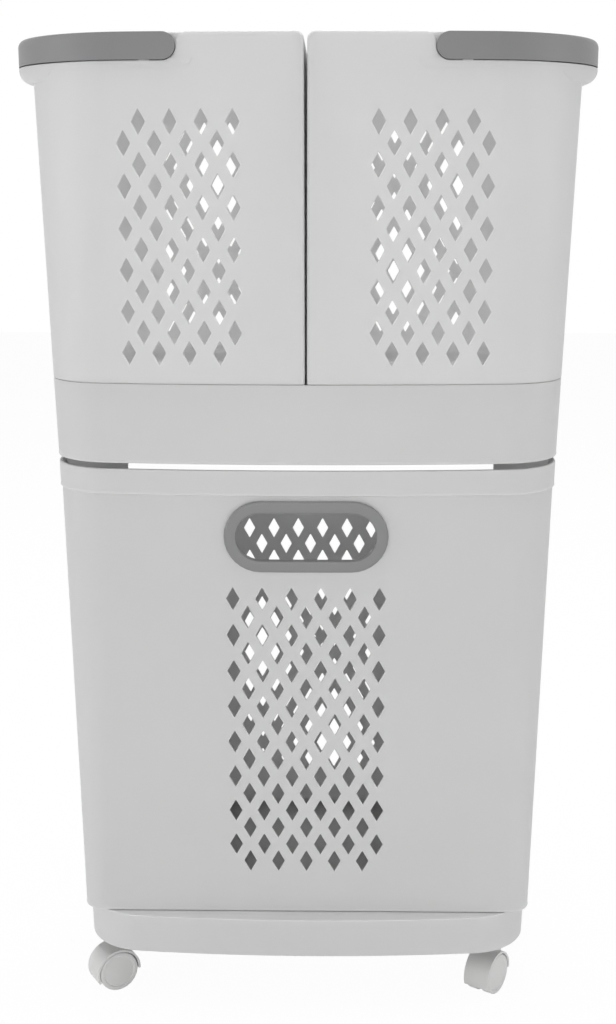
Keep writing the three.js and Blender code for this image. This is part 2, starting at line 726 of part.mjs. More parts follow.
// Plan outline of the right upper basket: a tight corner at the seam and the body's corner outside
function upperLoop(outline, seamInset) {
  const seamX = SEAM_SIDE + seamInset;
  const quarter = [];
  for (let step = 0; step <= SEAM_STEPS; step += 1) {
    const angle = (Math.PI / 2) * (1 - step / SEAM_STEPS);
    const x = seamX + SEAM_CORNER * (1 - Math.sin(angle));
    quarter.push([x, SEAM_CORNER * (1 - Math.cos(angle)) - outline.halfDepth]);
  }
  quarter.push(...quarterOutline(outline, upperStations()));
  return [...quarter, ...mirrorDepth(quarter)];
}

function upperRing(z, inset) {
  return ringAt(upperLoop(insetOutline(bodyAt(z), inset), inset), z);
}

// Elevation of the pocket that a bail's arm lies in: a round bottom under the pivot and a
// rounded shoulder up to the rim. grow widens it all round.
function pocketOutline(grow) {
  const radius = BAIL_HEIGHT / 2 + BAIL_REST_GAP + grow;
  const shoulder = POCKET_SHOULDER - grow;
  const top = RIM_TOP + CUT_OVERRUN;
  const points = [[FAR, top], [BAIL_PIVOT_X - radius - shoulder, top]];
  for (let step = 0; step <= SHOULDER_STEPS; step += 1) {
    const angle = lerp(Math.PI / 2, 0, step / SHOULDER_STEPS);
    const x = BAIL_PIVOT_X - radius - shoulder * (1 - Math.cos(angle));
    points.push([x, RIM_TOP - shoulder * (1 - Math.sin(angle))]);
  }
  for (let step = 0; step <= SHOULDER_STEPS; step += 1) {
    const angle = lerp(Math.PI, Math.PI + Math.PI / 2, step / SHOULDER_STEPS);
    points.push([BAIL_PIVOT_X + radius * Math.cos(angle), BAIL_PIVOT_Z + radius * Math.sin(angle)]);
  }
  points.push([FAR, BAIL_PIVOT_Z - radius]);
  return points;
}

// Plan of the flange and of the bail that lies on it
function flangeOutline() {
  const rim = bodyAt(RIM_TOP);
  return {
    ...rim,
    halfWidth: rim.halfWidth + FLANGE_OVERHANG,
    halfDepth: rim.halfDepth + FLANGE_PROUD,
    corner: FLANGE_CORNER,
  };
}

// Plan of the wall behind the bail
function pocketWall() {
  return insetOutline(flangeOutline(), FLANGE_OVERHANG, FLANGE_PROUD + POCKET_DEPTH);
}

// Upper basket: a cup on a nesting foot. Round the outer side its rim carries a ledge, above
// which the wall is set back into a pocket for the bail.
function upperBasket() {
  const wall = BASKET_WALL;
  const foot = UPPER_FOOT_INSET;
  const floor = UPPER_FOOT_BOTTOM + BASKET_FLOOR;
  const cup = stackSolid([
    upperRing(UPPER_FOOT_BOTTOM, foot + UPPER_FOOT_RADIUS),
    upperRing(UPPER_FOOT_BOTTOM + UPPER_FOOT_RADIUS, foot),
    upperRing(UPPER_BOTTOM, foot),
    upperRing(UPPER_BOTTOM, 0),
    upperRing(RIM_TOP, 0),
    upperRing(RIM_TOP, wall),
    upperRing(UPPER_BOTTOM + foot, wall),
    upperRing(UPPER_BOTTOM, foot + wall),
    upperRing(floor + UPPER_FOOT_RADIUS, foot + wall),
    upperRing(floor, foot + wall + UPPER_FOOT_RADIUS),
  ]);
  const rim = bodyAt(RIM_TOP);
  const half = wall / 2;
  const outerLoop = upperLoop(insetOutline(rim, half), half);
  const bandLoop = upperLoop(insetOutline(pocketWall(), wall), half);
  const shelf = LEDGE_TOP - wall;
  const band = bandSolid([
    ringAt(bandLoop, shelf),
    ringAt(outerLoop, shelf),
    ringAt(outerLoop, RIM_TOP),
    ringAt(bandLoop, RIM_TOP),
  ]).intersect(prismAlongY(pocketOutline(wall), -FAR, FAR));
  const edgeZ = LEDGE_TOP - FLANGE_THICKNESS;
  const slopeZ = edgeZ - FLANGE_SLOPE;
  const flangeLoop = upperLoop(flangeOutline(), half);
  const ledge = bandSolid([
    upperRing(slopeZ, half),
    ringAt(flangeLoop, edgeZ),
    ringAt(flangeLoop, LEDGE_TOP),
    upperRing(LEDGE_TOP, half),
  ]).intersect(prismAlongY(pocketOutline(FLANGE_THICKNESS + FLANGE_SLOPE), -FAR, FAR));
  const pocketLoop = upperLoop(pocketWall(), 0);
  const keep = stackSolid([
    ringAt(pocketLoop, LEDGE_TOP - CUT_OVERRUN),
    ringAt(pocketLoop, RIM_TOP + CUT_OVERRUN),
  ]);
  const pocket = prismAlongY(pocketOutline(0), -FAR, FAR).subtract(keep);
  const pinHole = bailPin(BAIL_PIN_DIAMETER / 2 + BAIL_PIN_GAP, -FAR, FAR);
  const centres = patternCentres(
    UPPER_ROWS, UPPER_COLUMNS, UPPER_ROW_PITCH,
    UPPER_PATTERN_FROM_SEAM, RIM_TOP - UPPER_PATTERN_DROP, false,
  );
  return cup.add(band).add(ledge).subtract(pocket).subtract(pinHole).subtract(diamondCutter(centres));
}

// A round bar along Y at the bail's pivot
function bailPin(radius, front, back) {
  const outline = [];
  for (let step = 0; step < PIN_SIDES; step += 1) {
    const angle = (2 * Math.PI * step) / PIN_SIDES;
    outline.push([BAIL_PIVOT_X + radius * Math.cos(angle), BAIL_PIVOT_Z + radius * Math.sin(angle)]);
  }
  return prismAlongY(outline, front, back);
}

// Bail: a flat strip bent round the outer side of the rim, thicker at the grip, with round arm
// ends and a pin on the inside of each
function bail() {
  const bottom = RIM_TOP - BAIL_HEIGHT;
  const flange = flangeOutline();
  const arm = FLANGE_PROUD + POCKET_DEPTH - BAIL_WALL_GAP;
  const outerLoop = upperLoop(flange, 0);
  const innerLoop = upperLoop(insetOutline(flange, BAIL_GRIP, arm), 0);
  const plate = stackSolid([ringAt(outerLoop, bottom), ringAt(outerLoop, RIM_TOP)]);
  const hollow = stackSolid([
    ringAt(innerLoop, bottom - CUT_OVERRUN),
    ringAt(innerLoop, RIM_TOP + CUT_OVERRUN),
  ]);
  const radius = BAIL_HEIGHT / 2;
  const side = [[FAR, bottom], [FAR, RIM_TOP]];
  for (let step = 0; step <= ROUND_STEPS; step += 1) {
    const angle = lerp(Math.PI / 2, Math.PI + Math.PI / 2, step / ROUND_STEPS);
    side.push([BAIL_PIVOT_X + radius * Math.cos(angle), BAIL_PIVOT_Z + radius * Math.sin(angle)]);
  }
  const strip = plate.subtract(hollow).intersect(prismAlongY(side, -FAR, FAR));
  const wallY = -frontAt(pocketWall(), BAIL_PIVOT_X);
  const pinEnd = wallY - BASKET_WALL - BAIL_PIN_REACH;
  const pinRoot = wallY + BAIL_WALL_GAP + PIN_SINK;
  const pin = bailPin(BAIL_PIN_DIAMETER / 2, pinEnd, pinRoot);
  return strip.add(pin).add(pin.mirror([0, 1, 0]));
}

// A closed body of revolution about Y. The section gives radius and place along Y of each
// ring, between two flat end discs, and a flat side is turned down.
function turnedSolid(section) {
  const rings = section.map(([radius, along]) => {
    const ring = [];
    for (let side = 0; side < WHEEL_SIDES; side += 1) {
      const angle = (Math.PI * (2 * side + 1)) / WHEEL_SIDES;
      const corner = radius / Math.cos(Math.PI / WHEEL_SIDES);
      ring.push([corner * Math.cos(angle), corner * Math.sin(angle), along]);
    }
    return ring;
  });
  return stackSolid(rings).rotate([-90, 0, 0]);
}

// One wheel of a caster, closed by a dished cap outside and bored for the axle inside
function wheel() {
  const radius = WHEEL_RADIUS;
  const bore = AXLE_DIAMETER / 2 + AXLE_GAP;
  const outside = WHEEL_WIDTH;
  const dish = outside - WHEEL_DISH;
  return turnedSolid([
    [bore, dish - WHEEL_CAP],
    [bore, 0],
    [radius, 0],
    [radius, outside - WHEEL_EDGE],
    [radius - WHEEL_EDGE, outside],
    [radius - WHEEL_RIM, outside],
    [radius - WHEEL_RIM - WHEEL_DISH, dish],
  ]);
}

function axle() {
  const bored = WHEEL_WIDTH - WHEEL_DISH - WHEEL_CAP - AXLE_END_GAP;
  const half = HOOD_WEB / 2 + WHEEL_GAP + bored;
  const radius = AXLE_DIAMETER / 2;
  return turnedSolid([[radius, -half], [radius, half]]);
}

// Height of the top of the hood's boss, just under the base
const HOOD_TOP = FLOOR_TO_BASE - HOOD_BOSS_GAP;

// Hood of a caster, about its stem: a shroud over the wheels, a web between them that holds the
// axle, and a boss that holds the stem
function hood() {
  const inner = WHEEL_RADIUS + HOOD_CLEARANCE;
  const outer = inner + HOOD_THICKNESS;
  const centre = [CASTER_TRAIL, WHEEL_RADIUS];
  const arc = (radius, from, to, steps = HOOD_STEPS) => {
    const points = [];
    for (let step = 0; step <= steps; step += 1) {
      const angle = degToRad(lerp(from, to, step / steps));
      points.push([centre[0] + radius * Math.cos(angle), centre[1] + radius * Math.sin(angle)]);
    }
    return points;
  };
  const outside = arc(outer, HOOD_START_DEGREES, HOOD_END_DEGREES);
  const inside = arc(inner, HOOD_END_DEGREES, HOOD_START_DEGREES);
  const shroud = prismAlongY([...outside, ...inside], -CASTER_WIDTH / 2, CASTER_WIDTH / 2);
  const hubEnd = HOOD_START_DEGREES + FULL_TURN_DEGREES;
  const hub = arc(AXLE_DIAMETER, HOOD_END_DEGREES, hubEnd, SHOULDER_STEPS);
  const middle = arc(inner + HOOD_THICKNESS / 2, HOOD_START_DEGREES, HOOD_END_DEGREES);
  const web = prismAlongY([...middle, ...hub], -HOOD_WEB / 2, HOOD_WEB / 2);
  const bored = (radius) => {
    const section = [[radius, -CASTER_WIDTH], [radius, CASTER_WIDTH]];
    return turnedSolid(section).translate([CASTER_TRAIL, 0, WHEEL_RADIUS]);
  };
  const bossBottom = WHEEL_RADIUS + inner / 2;
  const boss = postSolid(HOOD_BOSS_DIAMETER, bossBottom, HOOD_TOP, 0, 0).subtract(bored(inner));
  const bore = postSolid(STEM_DIAMETER + 2 * AXLE_GAP, HOOD_TOP - STEM_IN_HOOD, FLOOR_TO_BASE, 0, 0);
  const shaft = bored(AXLE_DIAMETER / 2 + AXLE_GAP);
  return shroud.add(boss).add(web).subtract(shaft).subtract(bore);
}

function stem() {
  const bottom = HOOD_TOP - STEM_IN_HOOD + SEAT_GAP;
  return postSolid(STEM_DIAMETER, bottom, FLOOR_TO_BASE + STEM_IN_BASE, 0, 0);
}

// Socket sleeve that the stem turns in, pressed up into the base with a collar below it
function socket() {
  const inner = STEM_DIAMETER + 2 * AXLE_GAP;
  const outer = inner + 2 * SOCKET_WALL;
  const top = BASE_TOP - FRAME_WALL - SEAT_GAP;
  const collarTop = FLOOR_TO_BASE - SEAT_GAP;
  const collar = outer + 2 * (SEAT_GAP + BOSS_WALL / 2);
  return postSolid(outer, collarTop - SOCKET_COLLAR / 2, top, 0, 0)
    .add(postSolid(collar, collarTop - SOCKET_COLLAR, collarTop, 0, 0))
    .subtract(postSolid(inner, FLOOR_TO_BASE - CUT_OVERRUN, top - SOCKET_WALL, 0, 0));
}

// One caster at a corner of the base, turned to its heading
function caster(corner, x, y, solids) {
  const group = new THREE.Group();
  group.position.set(x, y, 0);
  group.rotation.z = degToRad(CASTER_HEADING_DEGREES[corner]);
  group.add(meshFromSolid(`caster_stem_${corner}`, solids.stem, steel));
  group.add(meshFromSolid(`caster_hood_${corner}`, solids.hood, nylon));
  const shaft = meshFromSolid(`caster_axle_${corner}`, solids.axle, steel);
  shaft.position.set(CASTER_TRAIL, 0, WHEEL_RADIUS);
  group.add(shaft);
  for (const [side, turn] of [['a', 0], ['b', Math.PI]]) {
    const mesh = meshFromSolid(`caster_wheel_${corner}_${side}`, solids.wheel, nylon);
    const offset = HOOD_WEB / 2 + WHEEL_GAP;
    mesh.position.set(CASTER_TRAIL, turn ? -offset : offset, WHEEL_RADIUS);
    mesh.rotation.z = turn;
    group.add(mesh);
  }
  return group;
}

// One upper basket with its bail, turned about the middle of the hamper
function upperSet(side, turn, solids) {
  const group = new THREE.Group();
  group.rotation.z = turn;
  group.add(meshFromSolid(`upper_basket_${side}`, solids.basket, walls));
  group.add(meshFromSolid(`bail_${side}`, solids.bail, grips));
  return group;
}

const hamper = new THREE.Group();
hamper.add(meshFromSolid('base', base(), walls));
hamper.add(meshFromSolid('top_tray', topTray(), walls));
const panel = sidePanel();
hamper.add(meshFromSolid('side_panel_right', panel, walls));
hamper.add(meshFromSolid('side_panel_left', panel.mirror([1, 0, 0]), walls));
hamper.add(meshFromSolid('lower_basket', lowerBasket(), walls));
hamper.add(handleRing());

const upperSolids = { basket: upperBasket(), bail: bail() };
hamper.add(upperSet('right', 0, upperSolids));
hamper.add(upperSet('left', Math.PI, upperSolids));

const casterSolids = { stem: stem(), hood: hood(), axle: axle(), wheel: wheel() };
const socketSolid = socket();
const { x: casterX, y: casterY } = casterPlace();
for (const corner of Object.keys(CASTER_HEADING_DEGREES)) {
  const x = corner.endsWith('left') ? -casterX : casterX;
  const y = corner.startsWith('front') ? -casterY : casterY;
  hamper.add(caster(corner, x, y, casterSolids));
  const sleeve = meshFromSolid(`caster_socket_${corner}`, socketSolid, nylon);
  sleeve.position.set(x, y, 0);
  hamper.add(sleeve);
}

export default hamper;
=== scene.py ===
# %% [markdown]
# # A laundry hamper on casters
#
# The hamper is a family of thin injection mouldings. A base, two side panels and a deep top tray
# make a frame. A large basket slides out of it to the front, and two smaller baskets stand side
# by side on the tray, each with a grey bail that folds down into its rim.
#
# Everything here is built from a few real sizes, because a moulding is never free-form: its
# walls lean by a fixed draft, its corners are arcs, and its holes repeat on a fixed pitch.

# %% Load the frame that all pieces ride on
import json
import math
from itertools import product

import bpy
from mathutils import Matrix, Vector


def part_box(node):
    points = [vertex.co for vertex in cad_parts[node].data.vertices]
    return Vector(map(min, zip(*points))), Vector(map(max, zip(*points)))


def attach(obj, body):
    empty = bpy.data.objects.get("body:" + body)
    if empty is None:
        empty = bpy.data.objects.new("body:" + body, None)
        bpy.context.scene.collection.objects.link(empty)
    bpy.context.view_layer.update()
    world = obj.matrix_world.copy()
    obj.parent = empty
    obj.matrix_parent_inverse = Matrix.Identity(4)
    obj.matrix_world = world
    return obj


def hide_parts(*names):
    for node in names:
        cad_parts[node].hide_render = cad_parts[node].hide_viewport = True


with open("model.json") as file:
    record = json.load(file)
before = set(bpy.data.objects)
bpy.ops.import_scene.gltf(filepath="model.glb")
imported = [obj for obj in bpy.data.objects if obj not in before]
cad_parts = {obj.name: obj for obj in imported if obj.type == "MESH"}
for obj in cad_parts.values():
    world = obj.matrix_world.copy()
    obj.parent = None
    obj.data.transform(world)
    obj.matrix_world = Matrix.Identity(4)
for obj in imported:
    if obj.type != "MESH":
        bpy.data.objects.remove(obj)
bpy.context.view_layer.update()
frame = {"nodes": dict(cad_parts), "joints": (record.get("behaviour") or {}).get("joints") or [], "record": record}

nodes = frame["nodes"]
print("nodes in the frame:", len(nodes))

# %% [markdown]
# ## Units and the sizes that drive the shape
#
# Sizes are in millimetres, as a mould maker would read them, and only the last step turns them
# into metres. Heights come from the frame, so each piece stays where its solid is.

# %% Sizes
MM = 0.001


def low_high(node):
    """Lowest and highest place of a node along Z, in millimetres."""
    low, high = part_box(node)
    return low.z / MM, high.z / MM


BASE_BOTTOM, BASE_TOP = low_high("base")
LOWER_BOTTOM, LOWER_TOP = low_high("lower_basket")
TRAY_BOTTOM, TRAY_TOP = low_high("top_tray")
UPPER_FOOT, RIM_TOP = low_high("upper_basket_right")
BAIL_BOTTOM, BAIL_TOP = low_high("bail_right")

SEAT_GAP = 0.3  # between mouldings that stand on each other
UPPER_BOTTOM = TRAY_TOP + SEAT_GAP
LEDGE_TOP = BAIL_BOTTOM - 1.0

# The body at three heights. Front and rear bow out with BOW_RADIUS.
WIDTHS = {BASE_TOP: 406.0, TRAY_TOP: 435.0, RIM_TOP: 461.0}
DEPTHS = {BASE_TOP: 265.4, TRAY_TOP: 292.2, RIM_TOP: 307.8}
CORNERS = {BASE_TOP: 54.0, TRAY_TOP: 54.0, RIM_TOP: 90.0}
BOW_RADIUS = 1545.0
WALL = 2.2
FRAME_WALL = 2.6
BASKET_FLOOR = 2.6
FLOOR_EDGE = 20.0  # how far in from the wall a floor's last ring lies
BEAD = 0.4  # how proud the thin beads along the mouldings' lower edges stand
COLUMN_PITCH = 25.0
FAR = 400.0  # past the whole body, for tools that cut right through
print("rim at", round(RIM_TOP, 1), "mm, tray top at", round(TRAY_TOP, 1), "mm")

# %% [markdown]
# ## From points to a mesh
#
# Each moulding is a stack of rings: closed outlines at rising heights, joined by quads. That is
# how a wall with draft is drawn on paper, and quads that follow the wall shade evenly. A round
# edge in the section is made by putting a short curve in place of a sharp corner.

# %% Helpers that make solids from rings


def skin(ring_count, ring_length, closed=False):
    """Quads between neighbouring rings of equal length."""
    faces = []
    for band in range(ring_count if closed else ring_count - 1):
        low = band * ring_length
        high = ((band + 1) % ring_count) * ring_length
        for index in range(ring_length):
            after = (index + 1) % ring_length
            faces.append((low + index, low + after, high + after, high + index))
    return faces


def stack(rings):
    """A solid through rings of points, closed by a flat face at both ends."""
    length = len(rings[0])
    faces = skin(len(rings), length)
    faces.append(tuple(reversed(range(length))))
    top = (len(rings) - 1) * length
    faces.append(tuple(range(top, top + length)))
    return [point for ring in rings for point in ring], faces


def hoop(rings):
    """A closed band: the last ring is joined to the first."""
    return [point for ring in rings for point in ring], skin(len(rings), len(rings[0]), True)


def together(*solids):
    """Several solids as one list of points and faces."""
    points, faces = [], []
    for more_points, more_faces in solids:
        first = len(points)
        points += list(more_points)
        faces += [tuple(first + index for index in face) for face in more_faces]
    return points, faces


def prism_along_y(outline, front=-FAR, back=FAR):
    """A prism from an outline in X and Z."""
    return stack([[(x, back, z) for x, z in outline], [(x, front, z) for x, z in outline]])


def block(width, depth, height, x, y, bottom):
    """A plain block that is joined to, or cut from, a moulding."""
    left, right, top = x - width / 2, x + width / 2, bottom + height
    corners = [(left, bottom), (right, bottom), (right, top), (left, top)]
    return prism_along_y(corners, y - depth / 2, y + depth / 2)


def lerp(start, end, share):
    return start + (end - start) * share


def arc(radius, x, y, start, sweep, steps):
    """Points of an arc about a centre, its angles in radians."""
    angles = [start + sweep * step / steps for step in range(steps + 1)]
    return [(x + radius * math.cos(angle), y + radius * math.sin(angle)) for angle in angles]


def circle(radius, x, y, sides=32):
    return arc(radius, x, y, 0, 2 * math.pi, sides)[:-1]


def curve(start, corner, end):
    """Five points of a short curve that takes a corner's place."""
    return [
        tuple(start.lerp(corner, share).lerp(corner.lerp(end, share), share))
        for share in (0, 0.25, 0.5, 0.75, 1)
    ]


def soften(profile):
    """A section whose corners, given as inset, height and radius, are turned into short curves."""
    made = []
    for index, (inset, height, radius) in enumerate(profile):
        corner = Vector((inset, height))
        if radius == 0 or index in (0, len(profile) - 1):
            made.append(tuple(corner))
            continue
        before = Vector(profile[index - 1][:2])
        after = Vector(profile[index + 1][:2])
        back = min(radius, (before - corner).length / 2)
        ahead = min(radius, (after - corner).length / 2)
        start = corner + (before - corner).normalized() * back
        made += curve(start, corner, corner + (after - corner).normalized() * ahead)
    return made


# %% Helpers that turn solids into finished pieces
SLIVER = 0.02
SHARP_ANGLE = math.radians(40)


def new_object(name, solid):
    """A mesh object in metres from points in millimetres."""
    points, faces = solid
    mesh = bpy.data.meshes.new(name)
    mesh.from_pydata([tuple(value * MM for value in point) for point in points], [], faces)
    mesh.validate()
    made = bpy.data.objects.new(name, mesh)
    bpy.context.scene.collection.objects.link(made)
    return made


def apply_all(piece):
    """Replaces a piece's mesh by what its modifiers make of it."""
    bpy.context.view_layer.update()
    depsgraph = bpy.context.evaluated_depsgraph_get()
    mesh = bpy.data.meshes.new_from_object(piece.evaluated_get(depsgraph))
    piece.modifiers.clear()
    piece.data = mesh


def combine(piece, tool, operation, solver="MANIFOLD"):
    """Joins, cuts or keeps with a tool object. Flat triangles keep the cut clean on curved walls.
    The manifold solver is quick, and the exact one also takes a mesh with a tiny gap in it."""
    for made in (piece, tool):
        if any(len(polygon.vertices) > 3 for polygon in made.data.polygons):
            made.modifiers.new("triangles", "TRIANGULATE").quad_method = "SHORTEST_DIAGONAL"
            apply_all(made)
    change = piece.modifiers.new(operation.lower(), "BOOLEAN")
    change.operation = operation
    change.solver = solver
    change.object = tool
    apply_all(piece)
    bpy.data.objects.remove(tool)


def carve(piece, solid, operation="DIFFERENCE", solver="MANIFOLD"):
    """As combine, with a tool that is made for it."""
    combine(piece, new_object("carving_tool", solid), operation, solver)


def finish_edges(piece, width, segments=2, angle=50):
    """Rounds the edges that carving left sharp, and keeps flat walls flat in their shading. Edges
    past SHARP_ANGLE are shaded apart, or the light would smear across thin rims."""
    piece.modifiers.new("close slivers", "WELD").merge_threshold = SLIVER * MM
    edges = piece.modifiers.new("round edges", "BEVEL")
    edges.width = width * MM
    edges.segments = segments
    edges.limit_method = "ANGLE"
    edges.angle_limit = math.radians(angle)
    edges.harden_normals = False
    apply_all(piece)
    for polygon in piece.data.polygons:
        polygon.use_smooth = True
    piece.data.set_sharp_from_angle(angle=SHARP_ANGLE)
    weigh = piece.modifiers.new("weigh normals", "WEIGHTED_NORMAL")
    weigh.weight = 100
    weigh.keep_sharp = True
    apply_all(piece)
    return piece


def dress(piece, body, slot, material, *stood_for):
    """Gives a piece its finish and sets it on the body of the solids that it stands for."""
    piece.data.materials.clear()
    piece.data.materials.append(material)
    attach(piece, body)
    if stood_for:
        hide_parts(*stood_for)
    print(piece.name, "has", len(piece.data.polygons), "faces")


# %% [markdown]
# ## Finishes
#
# The walls are polypropylene, injection moulded and lightly textured by the mould, which spreads
# a highlight into a soft sheen. The grips are the same plastic in a darker grey. Colours are
# written as sRGB hex values, which is how they are read from a picture, and one function turns
# them into the linear values that a shader needs.

# %% Helpers for colours and nodes
WHITE = (1.0, 1.0, 1.0, 1.0)


def linear(hex_colour):
    """sRGB hex to linear red, green, blue and a full alpha."""
    channels = [int(hex_colour[place:place + 2], 16) / 255 for place in (1, 3, 5)]
    made = [c / 12.92 if c <= 0.04045 else ((c + 0.055) / 1.055) ** 2.4 for c in channels]
    return (*made, 1.0)


def add_node(tree, kind, values=None, links=None, **settings):
    """Adds a node, sets its inputs and its own settings, and links outputs into it."""
    node = tree.nodes.new(kind)
    for name, value in settings.items():
        setattr(node, name, value)
    for name, value in (values or {}).items():
        node.inputs[name].default_value = value
    for name, socket in (links or {}).items():
        tree.links.new(socket, node.inputs[name])
    return node


def new_material(name):
    """A material with its node tree and its Principled shader."""
    material = bpy.data.materials.new(name)
    material.use_nodes = True
    return material, material.node_tree, material.node_tree.nodes["Principled BSDF"]


def noise(tree, size_mm, detail):
    """Noise on the object's own coordinates, from the size of its grain."""
    place = add_node(tree, "ShaderNodeTexCoord").outputs["Object"]
    values = {"Scale": 1 / (size_mm * MM), "Detail": detail}
    return add_node(tree, "ShaderNodeTexNoise", values, {"Vector": place}).outputs["Fac"]


def spread(tree, value, low, high):
    """A value between 0 and 1, spread from low to high."""
    ends = {"To Min": low, "To Max": high}
    return add_node(tree, "ShaderNodeMapRange", ends, {"Value": value}).outputs["Result"]


# %% Moulded plastic
DRIFT_MM = 90


def moulded_plastic(name, shade, tint, roughness, grain_mm, glow_mm=0.0):
    """A moulded plastic: a slow drift of colour, a fine grain, and a sheen that varies a little.
    Where glow_mm is given, part of the light creeps about that far through the wall."""
    material, tree, shader = new_material(name)
    # Sockets 6 and 7 of the mix are its two colours, and output 2 is the mixed one.
    colour = add_node(
        tree, "ShaderNodeMix", {6: linear(shade), 7: linear(tint)},
        {"Factor": noise(tree, DRIFT_MM, 2.0)}, data_type="RGBA",
    )
    grain = noise(tree, grain_mm, 3.0)
    sheen = spread(tree, grain, roughness - 0.05, roughness + 0.05)
    dents = {"Strength": 0.1, "Distance": 0.03 * MM}
    bump = add_node(tree, "ShaderNodeBump", dents, {"Height": grain})
    tree.links.new(colour.outputs[2], shader.inputs["Base Color"])
    tree.links.new(sheen, shader.inputs["Roughness"])
    tree.links.new(bump.outputs["Normal"], shader.inputs["Normal"])
    shader.inputs["IOR"].default_value = 1.49
    if glow_mm:
        shader.inputs["Subsurface Weight"].default_value = 0.55
        shader.inputs["Subsurface Radius"].default_value = (1.0, 1.0, 1.0)
        shader.inputs["Subsurface Scale"].default_value = glow_mm * MM
    return material


# Light grey polypropylene: matte enough to look even, with a soft sheen along its edges. The real
# mould texture is finer than a pixel here, so the grain is drawn coarser, at 1.6 mm. The walls
# are thin and only lightly coloured, so some daylight glows through them into the baskets.
grey_wall = moulded_plastic("light grey moulded polypropylene", "#D4D4D4", "#D7D7D7", 0.5, 1.6, 6.0)
# Mid grey polypropylene of the bails and of the ring round the hand hole.
grey_grip = moulded_plastic("mid grey moulded polypropylene", "#848485", "#888889", 0.46, 1.6)
# Nylon is harder and smoother than the walls, so its highlights are a little tighter.
white_nylon = moulded_plastic("white moulded nylon", "#DCDCDB", "#E0E0DF", 0.38, 1.2)
print("plastics:", grey_wall.name, "/", grey_grip.name, "/", white_nylon.name)

# %% Drawn steel


def drawn_steel(name):
    """Bright drawn wire: metal whose sheen is broken up by fine scratches."""
    material, tree, shader = new_material(name)
    shader.inputs["Base Color"].default_value = linear("#B4B6B8")
    shader.inputs["Metallic"].default_value = 1.0
    sheen = spread(tree, noise(tree, 0.8, 4.0), 0.22, 0.4)
    tree.links.new(sheen, shader.inputs["Roughness"])
    return material


# Stems and axles are drawn steel wire, cut to length and left bright.
bright_steel = drawn_steel("drawn bright steel")
FINISHES = {"walls": grey_wall, "grips": grey_grip, "nylon": white_nylon, "pins": bright_steel}
for subpart in frame["record"]["subparts"]:
    node_mesh = nodes[subpart["node"]].data
    node_mesh.materials.clear()
    node_mesh.materials.append(FINISHES[subpart["material_slot"]])

# %% [markdown]
# ## The outline of the body
#
# Seen from above, every moulding is the same rounded rectangle: a front and a back that bow out
# gently, straight sides, and an arc at each corner that meets the bow without a kink. It grows
# with height, because the walls lean outwards.

# %% Outline helpers
CORNER_STEPS = 18
BOW_STEPS = 6
BOW_END = 4.0


def between(sizes, z):
    """A size at a height, from sizes at the base, the tray and the rim."""
    heights = sorted(sizes)
    low, high = heights[:2] if z < heights[1] else heights[1:]
    return lerp(sizes[low], sizes[high], (z - low) / (high - low))


def body_at(z, inset=0.0):
    """Outline of the tapered body at a height, moved inwards by the inset."""
    outline = {
        "half_width": between(WIDTHS, z) / 2,
        "half_depth": between(DEPTHS, z) / 2,
        "corner": between(CORNERS, z),
        "bend": 1 / BOW_RADIUS,
    }
    return drawn_in(outline, inset)


def drawn_in(outline, side, depth=None):
    """An outline moved inwards, its arcs with it."""
    depth = side if depth is None else depth
    return {
        **outline,
        "half_width": outline["half_width"] - side,
        "half_depth": outline["half_depth"] - depth,
        "corner": outline["corner"] - side,
    }


def corner_arc(outline):
    """Centre of the arc that rounds an outline's corner, and where the arc begins."""
    radius = outline["corner"]
    x = outline["half_width"] - radius
    start_x = x / (1 - radius * outline["bend"])
    start_y = outline["bend"] * start_x**2 / 2 - outline["half_depth"]
    return x, start_y + math.sqrt(radius**2 - (start_x - x) ** 2), start_x


def front_at(outline, x):
    """Y of an outline's front at a distance across: a gentle bow, and then the corner's arc."""
    centre_x, centre_y, start_x = corner_arc(outline)
    if abs(x) <= start_x:
        return outline["bend"] * x**2 / 2 - outline["half_depth"]
    return centre_y - math.sqrt(outline["corner"] ** 2 - (abs(x) - centre_x) ** 2)


def corner_points(outline, from_x):
    """Points of a corner's arc, from the given place across to the straight side."""
    x, y, start_x = corner_arc(outline)
    radius = outline["corner"]
    begin = math.asin((max(from_x, start_x) - x) / radius)
    return arc(radius, x, y, begin - math.pi / 2, math.pi / 2 - begin, CORNER_STEPS)


def quarter(outline, stations):
    """Front right quarter of an outline, with facet lines of the bow at the given stations."""
    begin = max(corner_arc(outline)[2], stations[-1] + BOW_END)
    lines = list(stations)
    lines += [lerp(stations[-1], begin, step / BOW_STEPS) for step in range(1, BOW_STEPS)]
    return [(x, front_at(outline, x)) for x in lines] + corner_points(outline, begin)


def mirror_depth(points):
    return [(x, -y) for x, y in reversed(points)]


def whole(front):
    """A closed outline from its right front quarter."""
    right = front + mirror_depth(front)
    return right + [(-x, y) for x, y in reversed(right)]


def at_height(loop, z):
    return [(x, y, z) for x, y in loop]


# Facet lines of the bow. None lies at 0, where the two halves of an outline would share it.
FRAME_STATIONS = [COLUMN_PITCH * step / 4 + 0.5 for step in range(21)]


def body_loop(z, inset):
    return whole(quarter(body_at(z, inset), FRAME_STATIONS))


# %% [markdown]
# ## Diamond holes
#
# The baskets are pierced by rows of upright diamonds, each row set off by half a pitch. In the
# mould these are pins, and a pin's corners are never quite sharp, so each diamond has small arcs
# at its corners and a small chamfer where it meets the wall.
#
# Holes cut by a boolean leave one long face with many holes in it, which shades badly. So the
# holes are part of the mesh: the wall has a ring at every row and a facet line between every two
# columns, each diamond sits in the middle of two such cells, and a few faces fill the cells round
# it. The front and the rear wall have the same pattern, as a pair of mould halves would make it.

